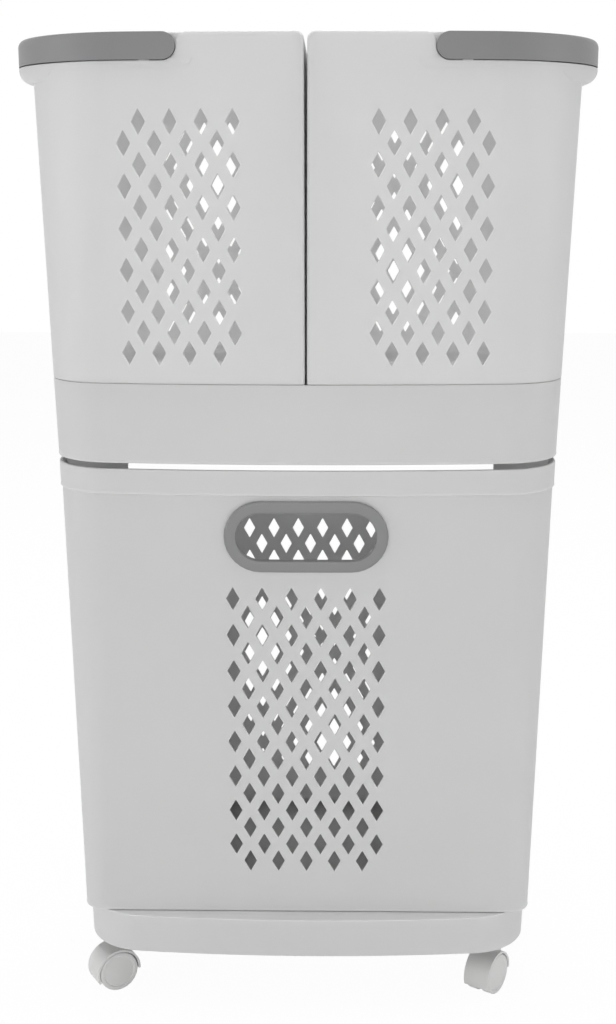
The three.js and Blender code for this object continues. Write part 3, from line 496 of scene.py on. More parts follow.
# %% Helpers for pierced walls
DIAMOND_WIDTH = 11.4
DIAMOND_HEIGHT = 20.8
TIP_ROUND = 1.3
SIDE_ROUND = 0.9
HOLE_CHAMFER = 0.35
CELL = COLUMN_PITCH / 4


def diamond(grow):
    """Outline of a diamond about its middle with rounded corners, moved outwards by grow."""
    side = math.hypot(DIAMOND_WIDTH, DIAMOND_HEIGHT)
    half_width = DIAMOND_WIDTH / 2 + grow * side / DIAMOND_HEIGHT
    half_height = DIAMOND_HEIGHT / 2 + grow * side / DIAMOND_WIDTH
    corners = [(0, -half_height), (half_width, 0), (0, half_height), (-half_width, 0)]
    outline = []
    for index, corner in enumerate(corners):
        radius = SIDE_ROUND if index % 2 else TIP_ROUND
        here = Vector(corner)
        start = here.lerp(Vector(corners[index - 1]), 2 * radius / side)
        outline += curve(start, here, here.lerp(Vector(corners[(index + 1) % 4]), 2 * radius / side))
    return outline


def pattern(rows, columns, row_pitch, x, top, shorter_rows):
    """Rows of diamonds, each set off by half a pitch: the heights of the rows, with one more above
    and one below, and the places of the diamonds."""
    levels = [top - row * row_pitch for row in range(-1, rows + 1)]
    places = []
    for row in range(rows):
        odd = row % 2
        count = columns - (odd if shorter_rows else 0)
        shift = 0 if shorter_rows else (odd - 0.5) * COLUMN_PITCH / 2
        for column in range(count):
            along = (column - (count - 1) / 2) * COLUMN_PITCH
            places.append((x + shift + along, levels[row + 1]))
    return levels, places


def with_levels(section, levels):
    """A section with a point more wherever it passes one of the levels."""
    made = [section[0]]
    for start, end in zip(section, section[1:]):
        passed = [z for z in levels if min(start[1], end[1]) < z < max(start[1], end[1])]
        for z in sorted(passed, reverse=start[1] > end[1]):
            made.append((lerp(start[0], end[0], (z - start[1]) / (end[1] - start[1])), z))
        made.append(end)
    return made


def fill_round(loop, corners):
    """Faces between a hole's outline and the six corners of the two cells that it sits in. The
    outline has five points at each of its corners, the lowest corner first."""
    low_left, low_right, right, top_right, top_left, left = corners
    return [
        (low_left, low_right, loop[2]),
        (low_right, right, *loop[7:1:-1]),
        (right, top_right, *loop[12:6:-1]),
        (top_right, top_left, loop[12]),
        (top_left, left, *loop[17:11:-1]),
        (left, low_left, *loop[2::-1], *loop[:16:-1]),
    ]


def pierced_stack(rings, section, levels, places, y_at, front_shift=0.0):
    """A stack of rings with diamonds through its front and rear walls. y_at gives the place of a
    skin, named by its wall and its side, at a distance across and a height. The front wall's
    pattern may be moved across."""
    points, faces = stack(rings)
    length = len(rings[0])
    passed = [index for index, (_, z) in enumerate(section) if z in levels]
    rising, falling = passed[:len(levels)], passed[len(levels):]
    rows = {"outer": dict(zip(reversed(levels), rising)), "inner": dict(zip(levels, falling))}
    columns = {"front": {}, "rear": {}}
    for index, (x, y, _) in enumerate(rings[rising[0]]):
        columns["front" if y < 0 else "rear"][round(x, 3)] = index
    gone, added = set(), []
    walls = (("front", ("outer", "inner"), front_shift), ("rear", ("inner", "outer"), 0.0))
    for (hole_x, z), (wall, (near, far), shift) in product(places, walls):
        x = hole_x + shift
        loops = []
        for side, depth, grow in (
            (near, 0, HOLE_CHAMFER), (near, HOLE_CHAMFER, 0),
            (far, -HOLE_CHAMFER, 0), (far, 0, HOLE_CHAMFER),
        ):
            outline = diamond(grow)
            loops.append(range(len(points), len(points) + len(outline)))
            for across, up in outline:
                points.append((x + across, y_at(wall, side, x + across, z + up) + depth, z + up))
        lining = skin(len(loops), len(outline))
        added += [tuple(loops[0][0] + index for index in face) for face in lining]
        left, right = (columns[wall][round(x + step, 3)] for step in (-CELL, CELL))
        row = levels.index(z)
        for side, loop in ((near, loops[0]), (far, loops[-1])):
            low, middle, high = (rows[side][levels[row + step]] for step in (1, 0, -1))
            cell = (
                (low, left), (low, right), (middle, right),
                (high, right), (high, left), (middle, left),
            )
            filled = fill_round(loop, [ring * length + index for ring, index in cell])
            added += filled if side == near else [face[::-1] for face in filled]
            first = left if wall == "front" else right
            gone |= {min(pair) * length + first for pair in ((low, middle), (middle, high))}
    return points, [face for index, face in enumerate(faces) if index not in gone] + added


# %% [markdown]
# ## Upper baskets
#
# Each upper basket is a cup on a foot that nests in the tray. The wall runs straight up to the
# rim at the front, but round the outer side it carries a ledge, and above the ledge it is set
# back into a pocket for the bail. The cup is a stack of rings. The ledge is joined on and the
# pocket is carved out, because their ends are curves that cross the wall. Two small ticks mark
# the rim beside the seam, and a rest under the bail's end keeps it off the ledge.

# %% Upper basket sizes and outline
SEAM_SIDE = {UPPER_BOTTOM: 0.8, RIM_TOP: 1.25}
SEAM_CORNER = 2.6
UPPER_PATTERN_X = 101.25
UPPER_PATTERN_DROP = 68.0
UPPER_ROW_PITCH = 16.67
UPPER_ROWS = 12
UPPER_FOOT_INSET = 4.0
POCKET_DEPTH = 6.5
POCKET_SHOULDER = 9.0
# The ledge and the bail stand out at the side, and hardly at the front and rear.
FLANGE_OVERHANG = 15.0
FLANGE_PROUD = 0.5
FLANGE_CORNER = 115.0
LEDGE_HEIGHT = 13.5
LEDGE_LIP = 1.8
LEDGE_STEPS = 7
RIM_BAND = 3.4  # height of the rim's top band, which leans in a little
RIM_CORNER_WIDTH = 4.5
RIM_CORNER_HEIGHT = 7.0
RIM_CORNER_RINGS = (0.8, 0.6, 0.42, 0.27, 0.15)  # shares of its height, below the rim
PIVOT_X = 112.5
PIVOT_Z = (BAIL_BOTTOM + BAIL_TOP) / 2
BAIL_RADIUS = (BAIL_TOP - BAIL_BOTTOM) / 2
TICKS_X = (6.9, 20.9)
TICK = (1.6, 1.6, 4.6)  # width, depth and height
TICK_INSET = 0.82  # of its middle, so that it ends just inside the wall
REST_X = 126.5
REST = (8.5, 5.0, 3.0)  # width, depth and height
REST_INSET = 3.2
# The left basket stands slightly turned in the picture. Its walls are kept square, and its rear
# holes are set over instead, so that the same light shows through them. It is made as a right
# one and then turned half round, so its rear is the front while it is made.
LEFT_REAR_SHIFT = -3.1
UPPER_STATIONS = [UPPER_PATTERN_X + (line - 4) * COLUMN_PITCH / 2 for line in range(9)]


def upper_half(outline, seam_x, stations):
    """Front half of the right basket's plan outline, from its tight corner at the seam."""
    y = SEAM_CORNER - outline["half_depth"]
    points = arc(SEAM_CORNER, seam_x + SEAM_CORNER, y, math.pi, math.pi / 2, 6)
    for step in range(1, 6):
        x = lerp(seam_x + SEAM_CORNER, stations[0], step / 6)
        points.append((x, front_at(outline, x)))
    return points + quarter(outline, stations)


def upper_loop(outline, seam_inset, z=RIM_TOP, front_shift=0.0):
    """Plan outline of the right basket. The front wall's facet lines may be moved across."""
    rise = (z - UPPER_BOTTOM) / (RIM_TOP - UPPER_BOTTOM)
    seam_x = seam_inset + lerp(SEAM_SIDE[UPPER_BOTTOM], SEAM_SIDE[RIM_TOP], rise)
    front = upper_half(outline, seam_x, [x + front_shift for x in UPPER_STATIONS])
    return front + mirror_depth(upper_half(outline, seam_x, UPPER_STATIONS))


def upper_ring(z, inset, front_shift=0.0):
    """A ring of the wall. Near the rim it draws back at the seam, which rounds the rim's corner."""
    share = max(0, (z - RIM_TOP) / RIM_CORNER_HEIGHT + 1)
    back = RIM_CORNER_WIDTH * (1 - math.sqrt(1 - share**2))
    return at_height(upper_loop(body_at(z, inset), inset + back, z, front_shift), z)


def ledge_ring(share):
    """A ring of the ledge's rounded underside, from the wall (0) to the lip's lower edge (1)."""
    angle = share * math.pi / 2
    start = body_at(LEDGE_TOP - LEDGE_HEIGHT, 0.4 * WALL)
    lip = flange_outline()
    outline = {size: lerp(start[size], lip[size], math.sin(angle)) for size in start}
    outline["half_depth"] = lerp(start["half_depth"], lip["half_depth"], share**3)
    drop = lerp(LEDGE_HEIGHT, LEDGE_LIP, 1 - math.cos(angle))
    return at_height(upper_loop(outline, WALL / 2), LEDGE_TOP - drop)


def pocket_outline(grow):
    """Elevation of the pocket: round under the pivot, with a soft shoulder up to the rim."""
    radius = BAIL_RADIUS + 1.0 + grow
    shoulder = max(POCKET_SHOULDER - grow, 0.5)
    top = RIM_TOP + 20
    edge = PIVOT_X - radius - shoulder
    points = [(FAR, top), (edge, top)]
    points += arc(shoulder, edge, RIM_TOP - shoulder, math.pi / 2, -math.pi / 2, 8)
    points += arc(radius, PIVOT_X, PIVOT_Z, math.pi, math.pi / 2, 8)
    points.append((FAR, PIVOT_Z - radius))
    return points


def flange_outline(overhang=FLANGE_OVERHANG):
    """Outline of the ledge, or of a place under its edge, and of the bail that lies on it."""
    rim = body_at(RIM_TOP)
    return {
        **drawn_in(rim, -overhang, -FLANGE_PROUD),
        "corner": FLANGE_CORNER + overhang - FLANGE_OVERHANG,
    }


def pocket_wall():
    """Outline of the wall behind the bail."""
    return drawn_in(flange_outline(), FLANGE_OVERHANG, FLANGE_PROUD + POCKET_DEPTH)


# %% Build one upper basket


def upper_skin(wall, side, x, z):
    """Y of the front or rear wall's outer or inner skin."""
    y = front_at(body_at(z, WALL if side == "inner" else 0), x)
    return y if wall == "front" else -y


def upper_basket_mesh(name, front_shift=0.0):
    """The right upper basket as a mesh object."""
    foot = UPPER_FOOT_INSET
    floor = UPPER_FOOT + BASKET_FLOOR
    section = soften([
        (foot + FLOOR_EDGE, UPPER_FOOT, 0),
        (foot, UPPER_FOOT, 6),
        (foot, UPPER_BOTTOM, 0.3),
        (0, UPPER_BOTTOM, 0.9),
        (0, RIM_TOP - RIM_BAND, 0.4),
        (0.6, RIM_TOP, 0.7),
        (WALL, RIM_TOP, 0.7),
        (WALL, UPPER_BOTTOM + foot, 3),
        (foot + WALL, UPPER_BOTTOM - foot, 3),
        (foot + WALL, floor, 7),
        (foot + FLOOR_EDGE, floor, 0),
    ])
    top = RIM_TOP - UPPER_PATTERN_DROP
    levels, places = pattern(UPPER_ROWS, 4, UPPER_ROW_PITCH, UPPER_PATTERN_X, top, False)
    corner = [RIM_TOP - RIM_CORNER_HEIGHT * drop for drop in RIM_CORNER_RINGS]
    section = with_levels(with_levels(section, levels), corner)
    rings = [upper_ring(z, inset, front_shift) for inset, z in section]
    solid = pierced_stack(rings, section, levels, places, upper_skin, front_shift)
    piece = new_object(name, solid)
    # The band is the wall behind the bail. It, the ledge and the pocket all end along the
    # pocket's outline, each moved out by as much as it needs.
    half = WALL / 2
    low = LEDGE_TOP - LEDGE_HEIGHT
    outer = upper_loop(body_at(RIM_TOP, half), half)
    inner = upper_loop(drawn_in(pocket_wall(), WALL), half)
    edge = upper_loop(drawn_in(pocket_wall(), WALL / 2), half)
    band = new_object("band", hoop([
        at_height(inner, low), at_height(outer, low), at_height(outer, RIM_TOP - 0.8),
        at_height(edge, RIM_TOP - 0.1), at_height(inner, RIM_TOP - 0.8),
    ]))
    carve(band, prism_along_y(pocket_outline(WALL)), "INTERSECT")
    ledge = new_object("ledge", hoop(
        [upper_ring(low, half)] + [ledge_ring(step / LEDGE_STEPS) for step in range(LEDGE_STEPS + 1)]
        + [at_height(upper_loop(flange_outline(), half), LEDGE_TOP + 2), upper_ring(LEDGE_TOP + 2, half)]
    ))
    carve(ledge, prism_along_y(pocket_outline(LEDGE_HEIGHT + 0.6)), "INTERSECT")
    keep = new_object("keep", stack([
        at_height(upper_loop(pocket_wall(), 0), z) for z in (LEDGE_TOP - 20, RIM_TOP + 40)
    ]))
    pocket = new_object("pocket", prism_along_y(pocket_outline(0)))
    combine(pocket, keep, "DIFFERENCE")
    combine(band, ledge, "UNION")
    combine(piece, band, "UNION")
    combine(piece, pocket, "DIFFERENCE")
    for wall in (-1, 1):
        for x in TICKS_X:
            y = wall * (-front_at(body_at(RIM_TOP), x) - TICK_INSET)
            carve(piece, block(*TICK, x, y, RIM_TOP - TICK[2] - 0.8), "UNION")
        y = wall * (-front_at(flange_outline(), REST_X) - REST_INSET)
        carve(piece, block(*REST, REST_X, y, BAIL_BOTTOM - REST[2] - 0.1), "UNION")
    return finish_edges(piece, 0.5)


def turned_round(piece):
    """A moulding turned half round, as the second basket stands."""
    for vertex in piece.data.vertices:
        vertex.co.x, vertex.co.y = -vertex.co.x, -vertex.co.y
    return piece


right_basket = upper_basket_mesh("right_upper_basket")
left_basket = turned_round(upper_basket_mesh("left_upper_basket", LEFT_REAR_SHIFT))
dress(right_basket, "upper_bin_right", "walls", grey_wall, "upper_basket_right")
dress(left_basket, "upper_bin_left", "walls", grey_wall, "upper_basket_left")

# %% [markdown]
# ## Bails
#
# A bail is a strip bent round the outer side of the rim, with a well rounded shoulder for the
# hand. It lies flush with the ledge when it is down, so it shares the ledge's outline. Its arms
# end in half circles about the pivot, and a short pin inside each arm turns in the basket's wall.

# %% Build one bail
BAIL_GRIP = 12.5  # from the outer to the inner side of the strip, where a hand holds it
BAIL_WALL_GAP = 2.0  # between the arms and the wall
BAIL_SHOULDER = 5.5
PIN_RADIUS = 4.0
PIN_ENDS = (-4.5, 2.5)  # from the wall's outside, inwards and outwards


def bail_mesh(name):
    """The right bail as a mesh object."""
    outer = upper_loop(flange_outline(), 0)
    arm = FLANGE_PROUD + POCKET_DEPTH - BAIL_WALL_GAP
    inner = upper_loop(drawn_in(flange_outline(), BAIL_GRIP, arm), 0)
    rings = [at_height(outer, BAIL_BOTTOM)]
    middle = (FLANGE_OVERHANG - BAIL_SHOULDER, BAIL_TOP - BAIL_SHOULDER)
    for overhang, z in arc(BAIL_SHOULDER, *middle, 0, math.pi / 2, 6):
        rings.append(at_height(upper_loop(flange_outline(overhang), 0), z))
    piece = new_object(name, stack(rings))
    carve(piece, stack([at_height(inner, z) for z in (BAIL_BOTTOM - 9, BAIL_TOP + 9)]))
    side = [(FAR, BAIL_BOTTOM), (FAR, BAIL_TOP)]
    side += arc(BAIL_RADIUS, PIVOT_X, PIVOT_Z, math.pi / 2, math.pi, 24)
    carve(piece, prism_along_y(side), "INTERSECT")
    wall_y = -front_at(pocket_wall(), PIVOT_X)
    inside, outside = (wall_y + end for end in PIN_ENDS)
    pin = circle(PIN_RADIUS, PIVOT_X, PIVOT_Z)
    for front, back in ((-outside, -inside), (inside, outside)):
        carve(piece, prism_along_y(pin, front, back), "UNION")
    return finish_edges(piece, 1.0, 3)


right_bail = bail_mesh("right_bail_strip")
left_bail = turned_round(bail_mesh("left_bail_strip"))
dress(right_bail, "right_bail", "grips", grey_grip, "bail_right")
dress(left_bail, "left_bail", "grips", grey_grip, "bail_left")

# %% [markdown]
# ## Top tray
#
# The tray is what ties the frame together: a deep skirt round a sunken floor. The baskets' feet
# stand in it and a low divider parts them. Ribs under the floor keep it flat.

# %% Build the tray
TRAY_RECESS = 20.0
TRAY_FLOOR = 3.0
TRAY_RIB = 18.0
TRAY_RIBS_X = (-108, 0, 108)
DIVIDER = (6.0, 8.0)  # width and height


def tray_mesh():
    """Skirt, floor, divider and ribs of the top tray."""
    floor = TRAY_TOP - TRAY_RECESS
    under = floor - TRAY_FLOOR
    section = soften([
        (FLOOR_EDGE, under, 0),
        (FRAME_WALL, under, 2),
        (FRAME_WALL, TRAY_BOTTOM, 0.8),
        (0.2, TRAY_BOTTOM, 0.4),
        (-BEAD, TRAY_BOTTOM + 1.1, 0.4),
        (0, TRAY_BOTTOM + 2.8, 0.4),
        (0, TRAY_TOP, 0.7),
        (FRAME_WALL, TRAY_TOP, 0.7),
        (FRAME_WALL, floor, 3),
        (FLOOR_EDGE, floor, 0),
    ])
    shell = stack([at_height(body_loop(z, inset), z) for inset, z in section])
    across = 2 * (body_at(under)["half_width"] - FRAME_WALL)
    along = 2 * (body_at(under)["half_depth"] - FRAME_WALL) - 4
    ribs = [block(across - 4, FRAME_WALL, TRAY_RIB, 0, 0, under - TRAY_RIB)]
    for x in TRAY_RIBS_X:
        ribs.append(block(FRAME_WALL, along - 8, TRAY_RIB, x, 0, under - TRAY_RIB))
    ribs.append(block(DIVIDER[0], along - CORNERS[TRAY_TOP], DIVIDER[1], 0, 0, floor))
    piece = new_object("tray", together(shell, *ribs))
    return finish_edges(piece, 0.5)


dress(tray_mesh(), "frame", "walls", grey_wall, "top_tray")

# %% [markdown]
# ## Side panels
#
# Each panel is one curved wall from just behind the lower basket's front, back round the rear
# corner. Its foot tucks in under the body like the baskets' feet, and it turns the frame into a
# stiff box that is open at the front and the back.

# %% Build the side panels
PANEL_FRONT = -71.5
PANEL_SIDE_END = 60.0
PANEL_RETURN_X = 185.0  # how near to the middle a panel comes, behind the basket


def panel_strip(z, outer_inset, inner_inset):
    """Plan of a panel: a straight side and most of the rear corner, out and back."""

    def path(inset):
        outline = body_at(z, inset)
        places = [lerp(PANEL_FRONT, PANEL_SIDE_END, step / 12) for step in range(12)]
        side = [(outline["half_width"], y) for y in places]
        return side + mirror_depth(corner_points(outline, PANEL_RETURN_X))

    return path(outer_inset) + list(reversed(path(inner_inset)))


def panel_mesh(name, side):
    """One side panel, the right one for side 1 and the left one for side -1."""
    foot = BASE_TOP + SEAT_GAP
    head = TRAY_BOTTOM - SEAT_GAP
    section = [
        (5.2, foot), (3.2, foot + 0.7), (1.4, foot + 2.6), (0.4, foot + 5.2), (0.0, foot + 8.5),
        (0.0, head - 0.8), (0.3, head - 0.2), (0.9, head),
    ]
    rings = []
    for inset, z in section:
        ring = at_height(panel_strip(z, inset, inset + FRAME_WALL), z)
        rings.append([(side * x, y, height) for x, y, height in ring])
    if side < 0:
        rings = [list(reversed(ring)) for ring in rings]
    piece = new_object(name, stack(rings))
    return finish_edges(piece, 0.5)


dress(panel_mesh("right_panel", 1), "frame", "walls", grey_wall, "side_panel_right")
dress(panel_mesh("left_panel", -1), "frame", "walls", grey_wall, "side_panel_left")

# %% [markdown]
# ## Lower basket
#
# The lower basket is the largest moulding. Its front leans in to a straight bottom edge while its
# rim follows the bow of the body, so the front is a ruled surface. It wraps both corners like a
# drawer front, and behind them the body steps in to run between the side panels. Two sections
# are drawn side by side, one for the front and one for the body, and joined at the wrap.

# %% Lower basket sizes and rings
FOOT_DEPTH = 120.5
FOOT_CORNER = 20.0
WRAP_END = -72.0
COLLAR = 22.0
COLLAR_STEP = 1.2
BODY_INSET = 6.5
RIM_FLANGE_INSET = 4.0
SIDE_RIM_DROP = 29.0
REAR_RIM_DROP = 71.0
LOWER_PATTERN_DROP = 112.6
LOWER_ROW_PITCH = 16.5
LOWER_ROWS = 16
LOWER_STATIONS = [COLUMN_PITCH / 4 + line * COLUMN_PITCH / 2 for line in range(6)]


def lower_front_at(z):
    """Outline of the front, from a straight foot to a bowed rim."""
    share = (z - LOWER_BOTTOM) / (LOWER_TOP - LOWER_BOTTOM)
    rim = body_at(LOWER_TOP)
    return {
        "half_width": body_at(z)["half_width"],
        "half_depth": lerp(FOOT_DEPTH, rim["half_depth"], share),
        "corner": lerp(FOOT_CORNER, rim["corner"], share),
        "bend": lerp(0, 1 / BOW_RADIUS, share),
    }


def lower_ring(front_inset, front_z, body_inset, body_z, side_z, behind):
    """One ring, with its own inset and height at the front, along the sides and at the rear."""
    wrap_y = WRAP_END - behind
    front = quarter(drawn_in(lower_front_at(front_z), front_inset), LOWER_STATIONS)
    right = [(x, y, front_z) for x, y in front]
    right.append((body_at(front_z)["half_width"] - front_inset, wrap_y, front_z))
    rear = mirror_depth(quarter(body_at(body_z, body_inset), LOWER_STATIONS))
    start = (body_at(side_z)["half_width"] - body_inset, wrap_y, side_z)
    right.append(start)
    end = (rear[0][0], rear[0][1], body_z)
    for step in range(1, 10):
        right.append(tuple(lerp(start[axis], end[axis], step / 10) for axis in range(3)))
    right += [(x, y, body_z) for x, y in rear]
    return right + [(-x, y, z) for x, y, z in reversed(right)]


# %% Build the lower basket
RING_DROP = 57.1
RING_STRAIGHT = 77.0
RING_INNER = 20.4
RING_OUTER = 30.9
RING_PROUD = 4.0
RING_SLEEVE = 3.4  # just deep enough to line the wall, so that the hand hole stays open


def stadium(radius):
    """A long round outline, divided along its straight sides so that it can bow."""
    points = []
    for side in (1, -1):
        end = arc(radius, RING_STRAIGHT / 2, 0, -math.pi / 2, math.pi, 16)
        points += [(side * x, side * up) for x, up in end]
        for step in range(1, 10):
            points.append((side * RING_STRAIGHT * (0.5 - step / 10), side * radius))
    return points


def lower_skin(wall, side, x, z):
    """Y of the front or rear wall's outer or inner skin."""
    wall_inset = WALL if side == "inner" else 0
    if wall == "front":
        return front_at(drawn_in(lower_front_at(z), COLLAR_STEP + wall_inset), x)
    return -front_at(body_at(z, BODY_INSET + wall_inset), x)


def lower_basket_mesh():
    """Front, body, rim and floor of the lower basket."""
    step = COLLAR_STEP
    collar = LOWER_TOP - COLLAR
    rear = LOWER_TOP - REAR_RIM_DROP
    side = LOWER_TOP - SIDE_RIM_DROP
    floor = LOWER_BOTTOM + BASKET_FLOOR
    front = soften([
        (step + 14, LOWER_BOTTOM, 0),
        (step + 0.3, LOWER_BOTTOM, 0.6),
        (step - BEAD, LOWER_BOTTOM + 1.2, 0.4),
        (step, LOWER_BOTTOM + 3.0, 0.4),
        (step, collar, 0.8),
        (-BEAD, collar + 0.7, 0.4),
        (0, collar + 2.5, 0.4),
        (0, LOWER_TOP, 1.5),
        (step + WALL, LOWER_TOP, 0.9),
        (step + WALL, floor, 4.0),
        (step + 14, floor, 0),
    ])
    body = soften([
        (BODY_INSET + 14, LOWER_BOTTOM, 0),
        (BODY_INSET, LOWER_BOTTOM, 7.0),
        (BODY_INSET, LOWER_BOTTOM + 16, 0.4),
        (BODY_INSET, LOWER_BOTTOM + 18, 0.4),
        (BODY_INSET, rear - 3.2, 0.6),
        (RIM_FLANGE_INSET, rear - 2.5, 0.4),
        (RIM_FLANGE_INSET, rear - 1.4, 0.2),
        (RIM_FLANGE_INSET, rear, 0.9),
        (BODY_INSET + WALL, rear, 0.9),
        (BODY_INSET + WALL, floor, 7.0),
        (BODY_INSET + 14, floor, 0),
    ])
    top = LOWER_TOP - LOWER_PATTERN_DROP
    levels, places = pattern(LOWER_ROWS, 6, LOWER_ROW_PITCH, 0, top, True)
    front, body = with_levels(front, levels), with_levels(body, levels)
    rings = []
    for (front_inset, front_z), (body_inset, body_z) in zip(front, body):
        lift = (body_z - LOWER_BOTTOM) / (rear - LOWER_BOTTOM)
        side_z = lerp(body_z, body_z + side - rear, lift**8)
        behind = WALL if front_inset > step + 0.01 and front_z > floor - 1 else 0
        rings.append(lower_ring(front_inset, front_z, body_inset, body_z, side_z, behind))
    piece = new_object("lower_basket_shell", pierced_stack(rings, front, levels, places, lower_skin))
    hole = [(x, z + LOWER_TOP - RING_DROP) for x, z in stadium(RING_INNER + 2.7)]
    carve(piece, prism_along_y(hole, -FAR, 0))
    return finish_edges(piece, 0.4)


dress(lower_basket_mesh(), "lower_bin", "walls", grey_wall, "lower_basket")

# %% [markdown]
# ## Ring round the hand hole
#
# The ring is a separate moulding in the grips' grey. A rounded flange lies on the front, and a
# short sleeve goes through the wall to cover its cut edge. It bows and leans with the front.

# %% Build the ring


def ring_mesh():
    """The ring in place on the front of the lower basket."""
    z = LOWER_TOP - RING_DROP
    front = lower_front_at(z)
    lean = math.atan2(body_at(LOWER_TOP)["half_depth"] - FOOT_DEPTH, LOWER_TOP - LOWER_BOTTOM)
    face_y = COLLAR_STEP - front["half_depth"]
    section = soften([
        (RING_INNER + 1.1, RING_SLEEVE, 0),
        (RING_INNER + 2.2, RING_SLEEVE, 0.5),
        (RING_INNER + 2.2, -0.3, 0),
        (RING_OUTER, -0.3, 0.3),
        (RING_OUTER, -RING_PROUD, 2.6),
        (RING_INNER, -RING_PROUD, 2.6),
        (RING_INNER + 0.8, RING_SLEEVE, 0.5),
    ])
    rings = []
    for radius, depth in section:
        ring = []
        for x, up in stadium(radius):
            y = depth + front["bend"] * x**2 / 2
            height = z + y * math.sin(lean) + up * math.cos(lean)
            ring.append((x, face_y + y * math.cos(lean) - up * math.sin(lean), height))
        rings.append(ring)
    piece = new_object("hand_hole_ring", hoop(rings))
    return finish_edges(piece, 0.1, 1, 60)


dress(ring_mesh(), "lower_bin", "grips", grey_grip, "handle_ring")

# %% [markdown]
# ## Base
#
# The base is a shallow upturned tray: a flat deck with a skirt, open and ribbed below, with a
# boss over each caster. Its front bows out past the straight foot of the lower basket.

# %% Build the base
BASE_HALF_WIDTH = 201.0
BASE_FRONT_STEP = 4.0
BASE_RIB = 22.0
BASE_RIBS_X = (-92, 0, 92)
BASE_RIB_LENGTH = 256.0
SOCKET_BOSS = 10.6
SOCKET_HOLE = 7.3
CASTERS = {
    "front_left": (-172.0, -90.0), "front_right": (172.0, -90.0),
    "rear_left": (-172.0, 90.0), "rear_right": (172.0, 90.0),
}


def base_loop(z, inset):
    """Outline of the base, with a little draft on its skirt."""
    draft = (BASE_TOP - z) / (BASE_TOP - BASE_BOTTOM)
    outline = {
        "half_width": BASE_HALF_WIDTH,
        "half_depth": body_at(BASE_TOP)["half_depth"] + BASE_FRONT_STEP,
        "corner": CORNERS[BASE_TOP],
        "bend": 1 / BOW_RADIUS,
    }
    return whole(quarter(drawn_in(outline, inset + draft), FRAME_STATIONS))


def round_post(radius, bottom, top, x, y):
    """An upright round post."""
    return stack([at_height(circle(radius, x, y), z) for z in (bottom, top)])


def base_mesh():
    """Deck, skirt, ribs and caster bosses."""
    under = BASE_TOP - FRAME_WALL
    section = soften([
        (FLOOR_EDGE, under, 0),
        (FRAME_WALL, under, 2),
        (FRAME_WALL, BASE_BOTTOM, 0.7),
        (0, BASE_BOTTOM, 0.9),
        (0, BASE_TOP, 0.6),
        (FLOOR_EDGE, BASE_TOP, 0),
    ])
    shell = stack([at_height(base_loop(z, inset), z) for inset, z in section])
    ribs = [block(2 * BASE_HALF_WIDTH - 8, FRAME_WALL, BASE_RIB, 0, 0, under - BASE_RIB)]
    for x in BASE_RIBS_X:
        ribs.append(block(FRAME_WALL, BASE_RIB_LENGTH, BASE_RIB, x, 0, under - BASE_RIB))
    piece = new_object("base_deck", together(shell, *ribs))
    for x, y in sorted(CASTERS.values()):
        carve(piece, round_post(SOCKET_BOSS, BASE_BOTTOM + 0.2, under + 1, x, y), "UNION")
    for x, y in sorted(CASTERS.values()):
        carve(piece, round_post(SOCKET_HOLE, BASE_BOTTOM - 9, under, x, y))
    return finish_edges(piece, 0.5)


dress(base_mesh(), "frame", "walls", grey_wall, "base")

# %% [markdown]
# ## Casters
#
# Small twin-wheel casters: a moulded hood covers both wheels from above and behind, a web between
# them carries the axle, and a steel stem turns in a socket in the base. Each stands in a heading
# of its own, as casters do once the hamper has been pushed. The heading is read from the joint.

# %% Build the casters
WHEEL_RADIUS = 18.5
WHEEL_WIDTH = 9.6
HOOD_WEB = 4.4
WHEEL_GAP = 0.5
TRAIL = 9.0
HOOD_INNER = 19.3
HOOD_OUTER = 21.2
HOOD_START = -22  # degrees about the axle, from the trailing side
HOOD_END = 184
HOOD_TOP = BASE_BOTTOM - 2.6
WEB_FOOT = 5.0
BOSS_RADIUS = 8.5
STEM_HOLE = 4.3
AXLE_HOLE = 2.8
CASTER_WIDTH = HOOD_WEB + 2 * (WHEEL_WIDTH + WHEEL_GAP)


def turned(section):
    """A solid of revolution about Y through rings of a radius and a place along Y."""
    return stack([[(x, along, -z) for x, z in circle(radius, 0, 0, 64)] for radius, along in section])


def placed(solid, heading, stem_x, stem_y, offset=(0, 0, 0)):
    """A caster's piece turned to its heading and set under its corner."""
    points, faces = solid
    cos, sin = math.cos(heading), math.sin(heading)
    made = []
    for x, y, z in points:
        x, y, z = x + offset[0], y + offset[1], z + offset[2]
        made.append((stem_x + x * cos - y * sin, stem_y + x * sin + y * cos, z))
    return made, faces


def wheel_solid(sign):
    """One wheel with a dished cap, its outer side towards sign."""
    rim = WHEEL_RADIUS
    out = WHEEL_WIDTH
    section = soften([
        (AXLE_HOLE, 6.5, 0), (AXLE_HOLE, 0, 0), (rim, 0, 1.2), (rim, out, 1.6), (rim - 3.2, out, 0.5),
        (rim - 4.0, out - 1.0, 0.5), (4.0, out - 0.6, 0), (0.4, out - 0.6, 0),
    ])
    points, faces = turned(section)
    if sign < 0:
        points = [(-x, -y, z) for x, y, z in points]
    return points, faces


def hood_arc(radius, start, end):
    """Points of an arc about the axle, angles in degrees."""
    sweep = math.radians(end - start)
    return arc(radius, TRAIL, WHEEL_RADIUS, math.radians(start), sweep, 32)


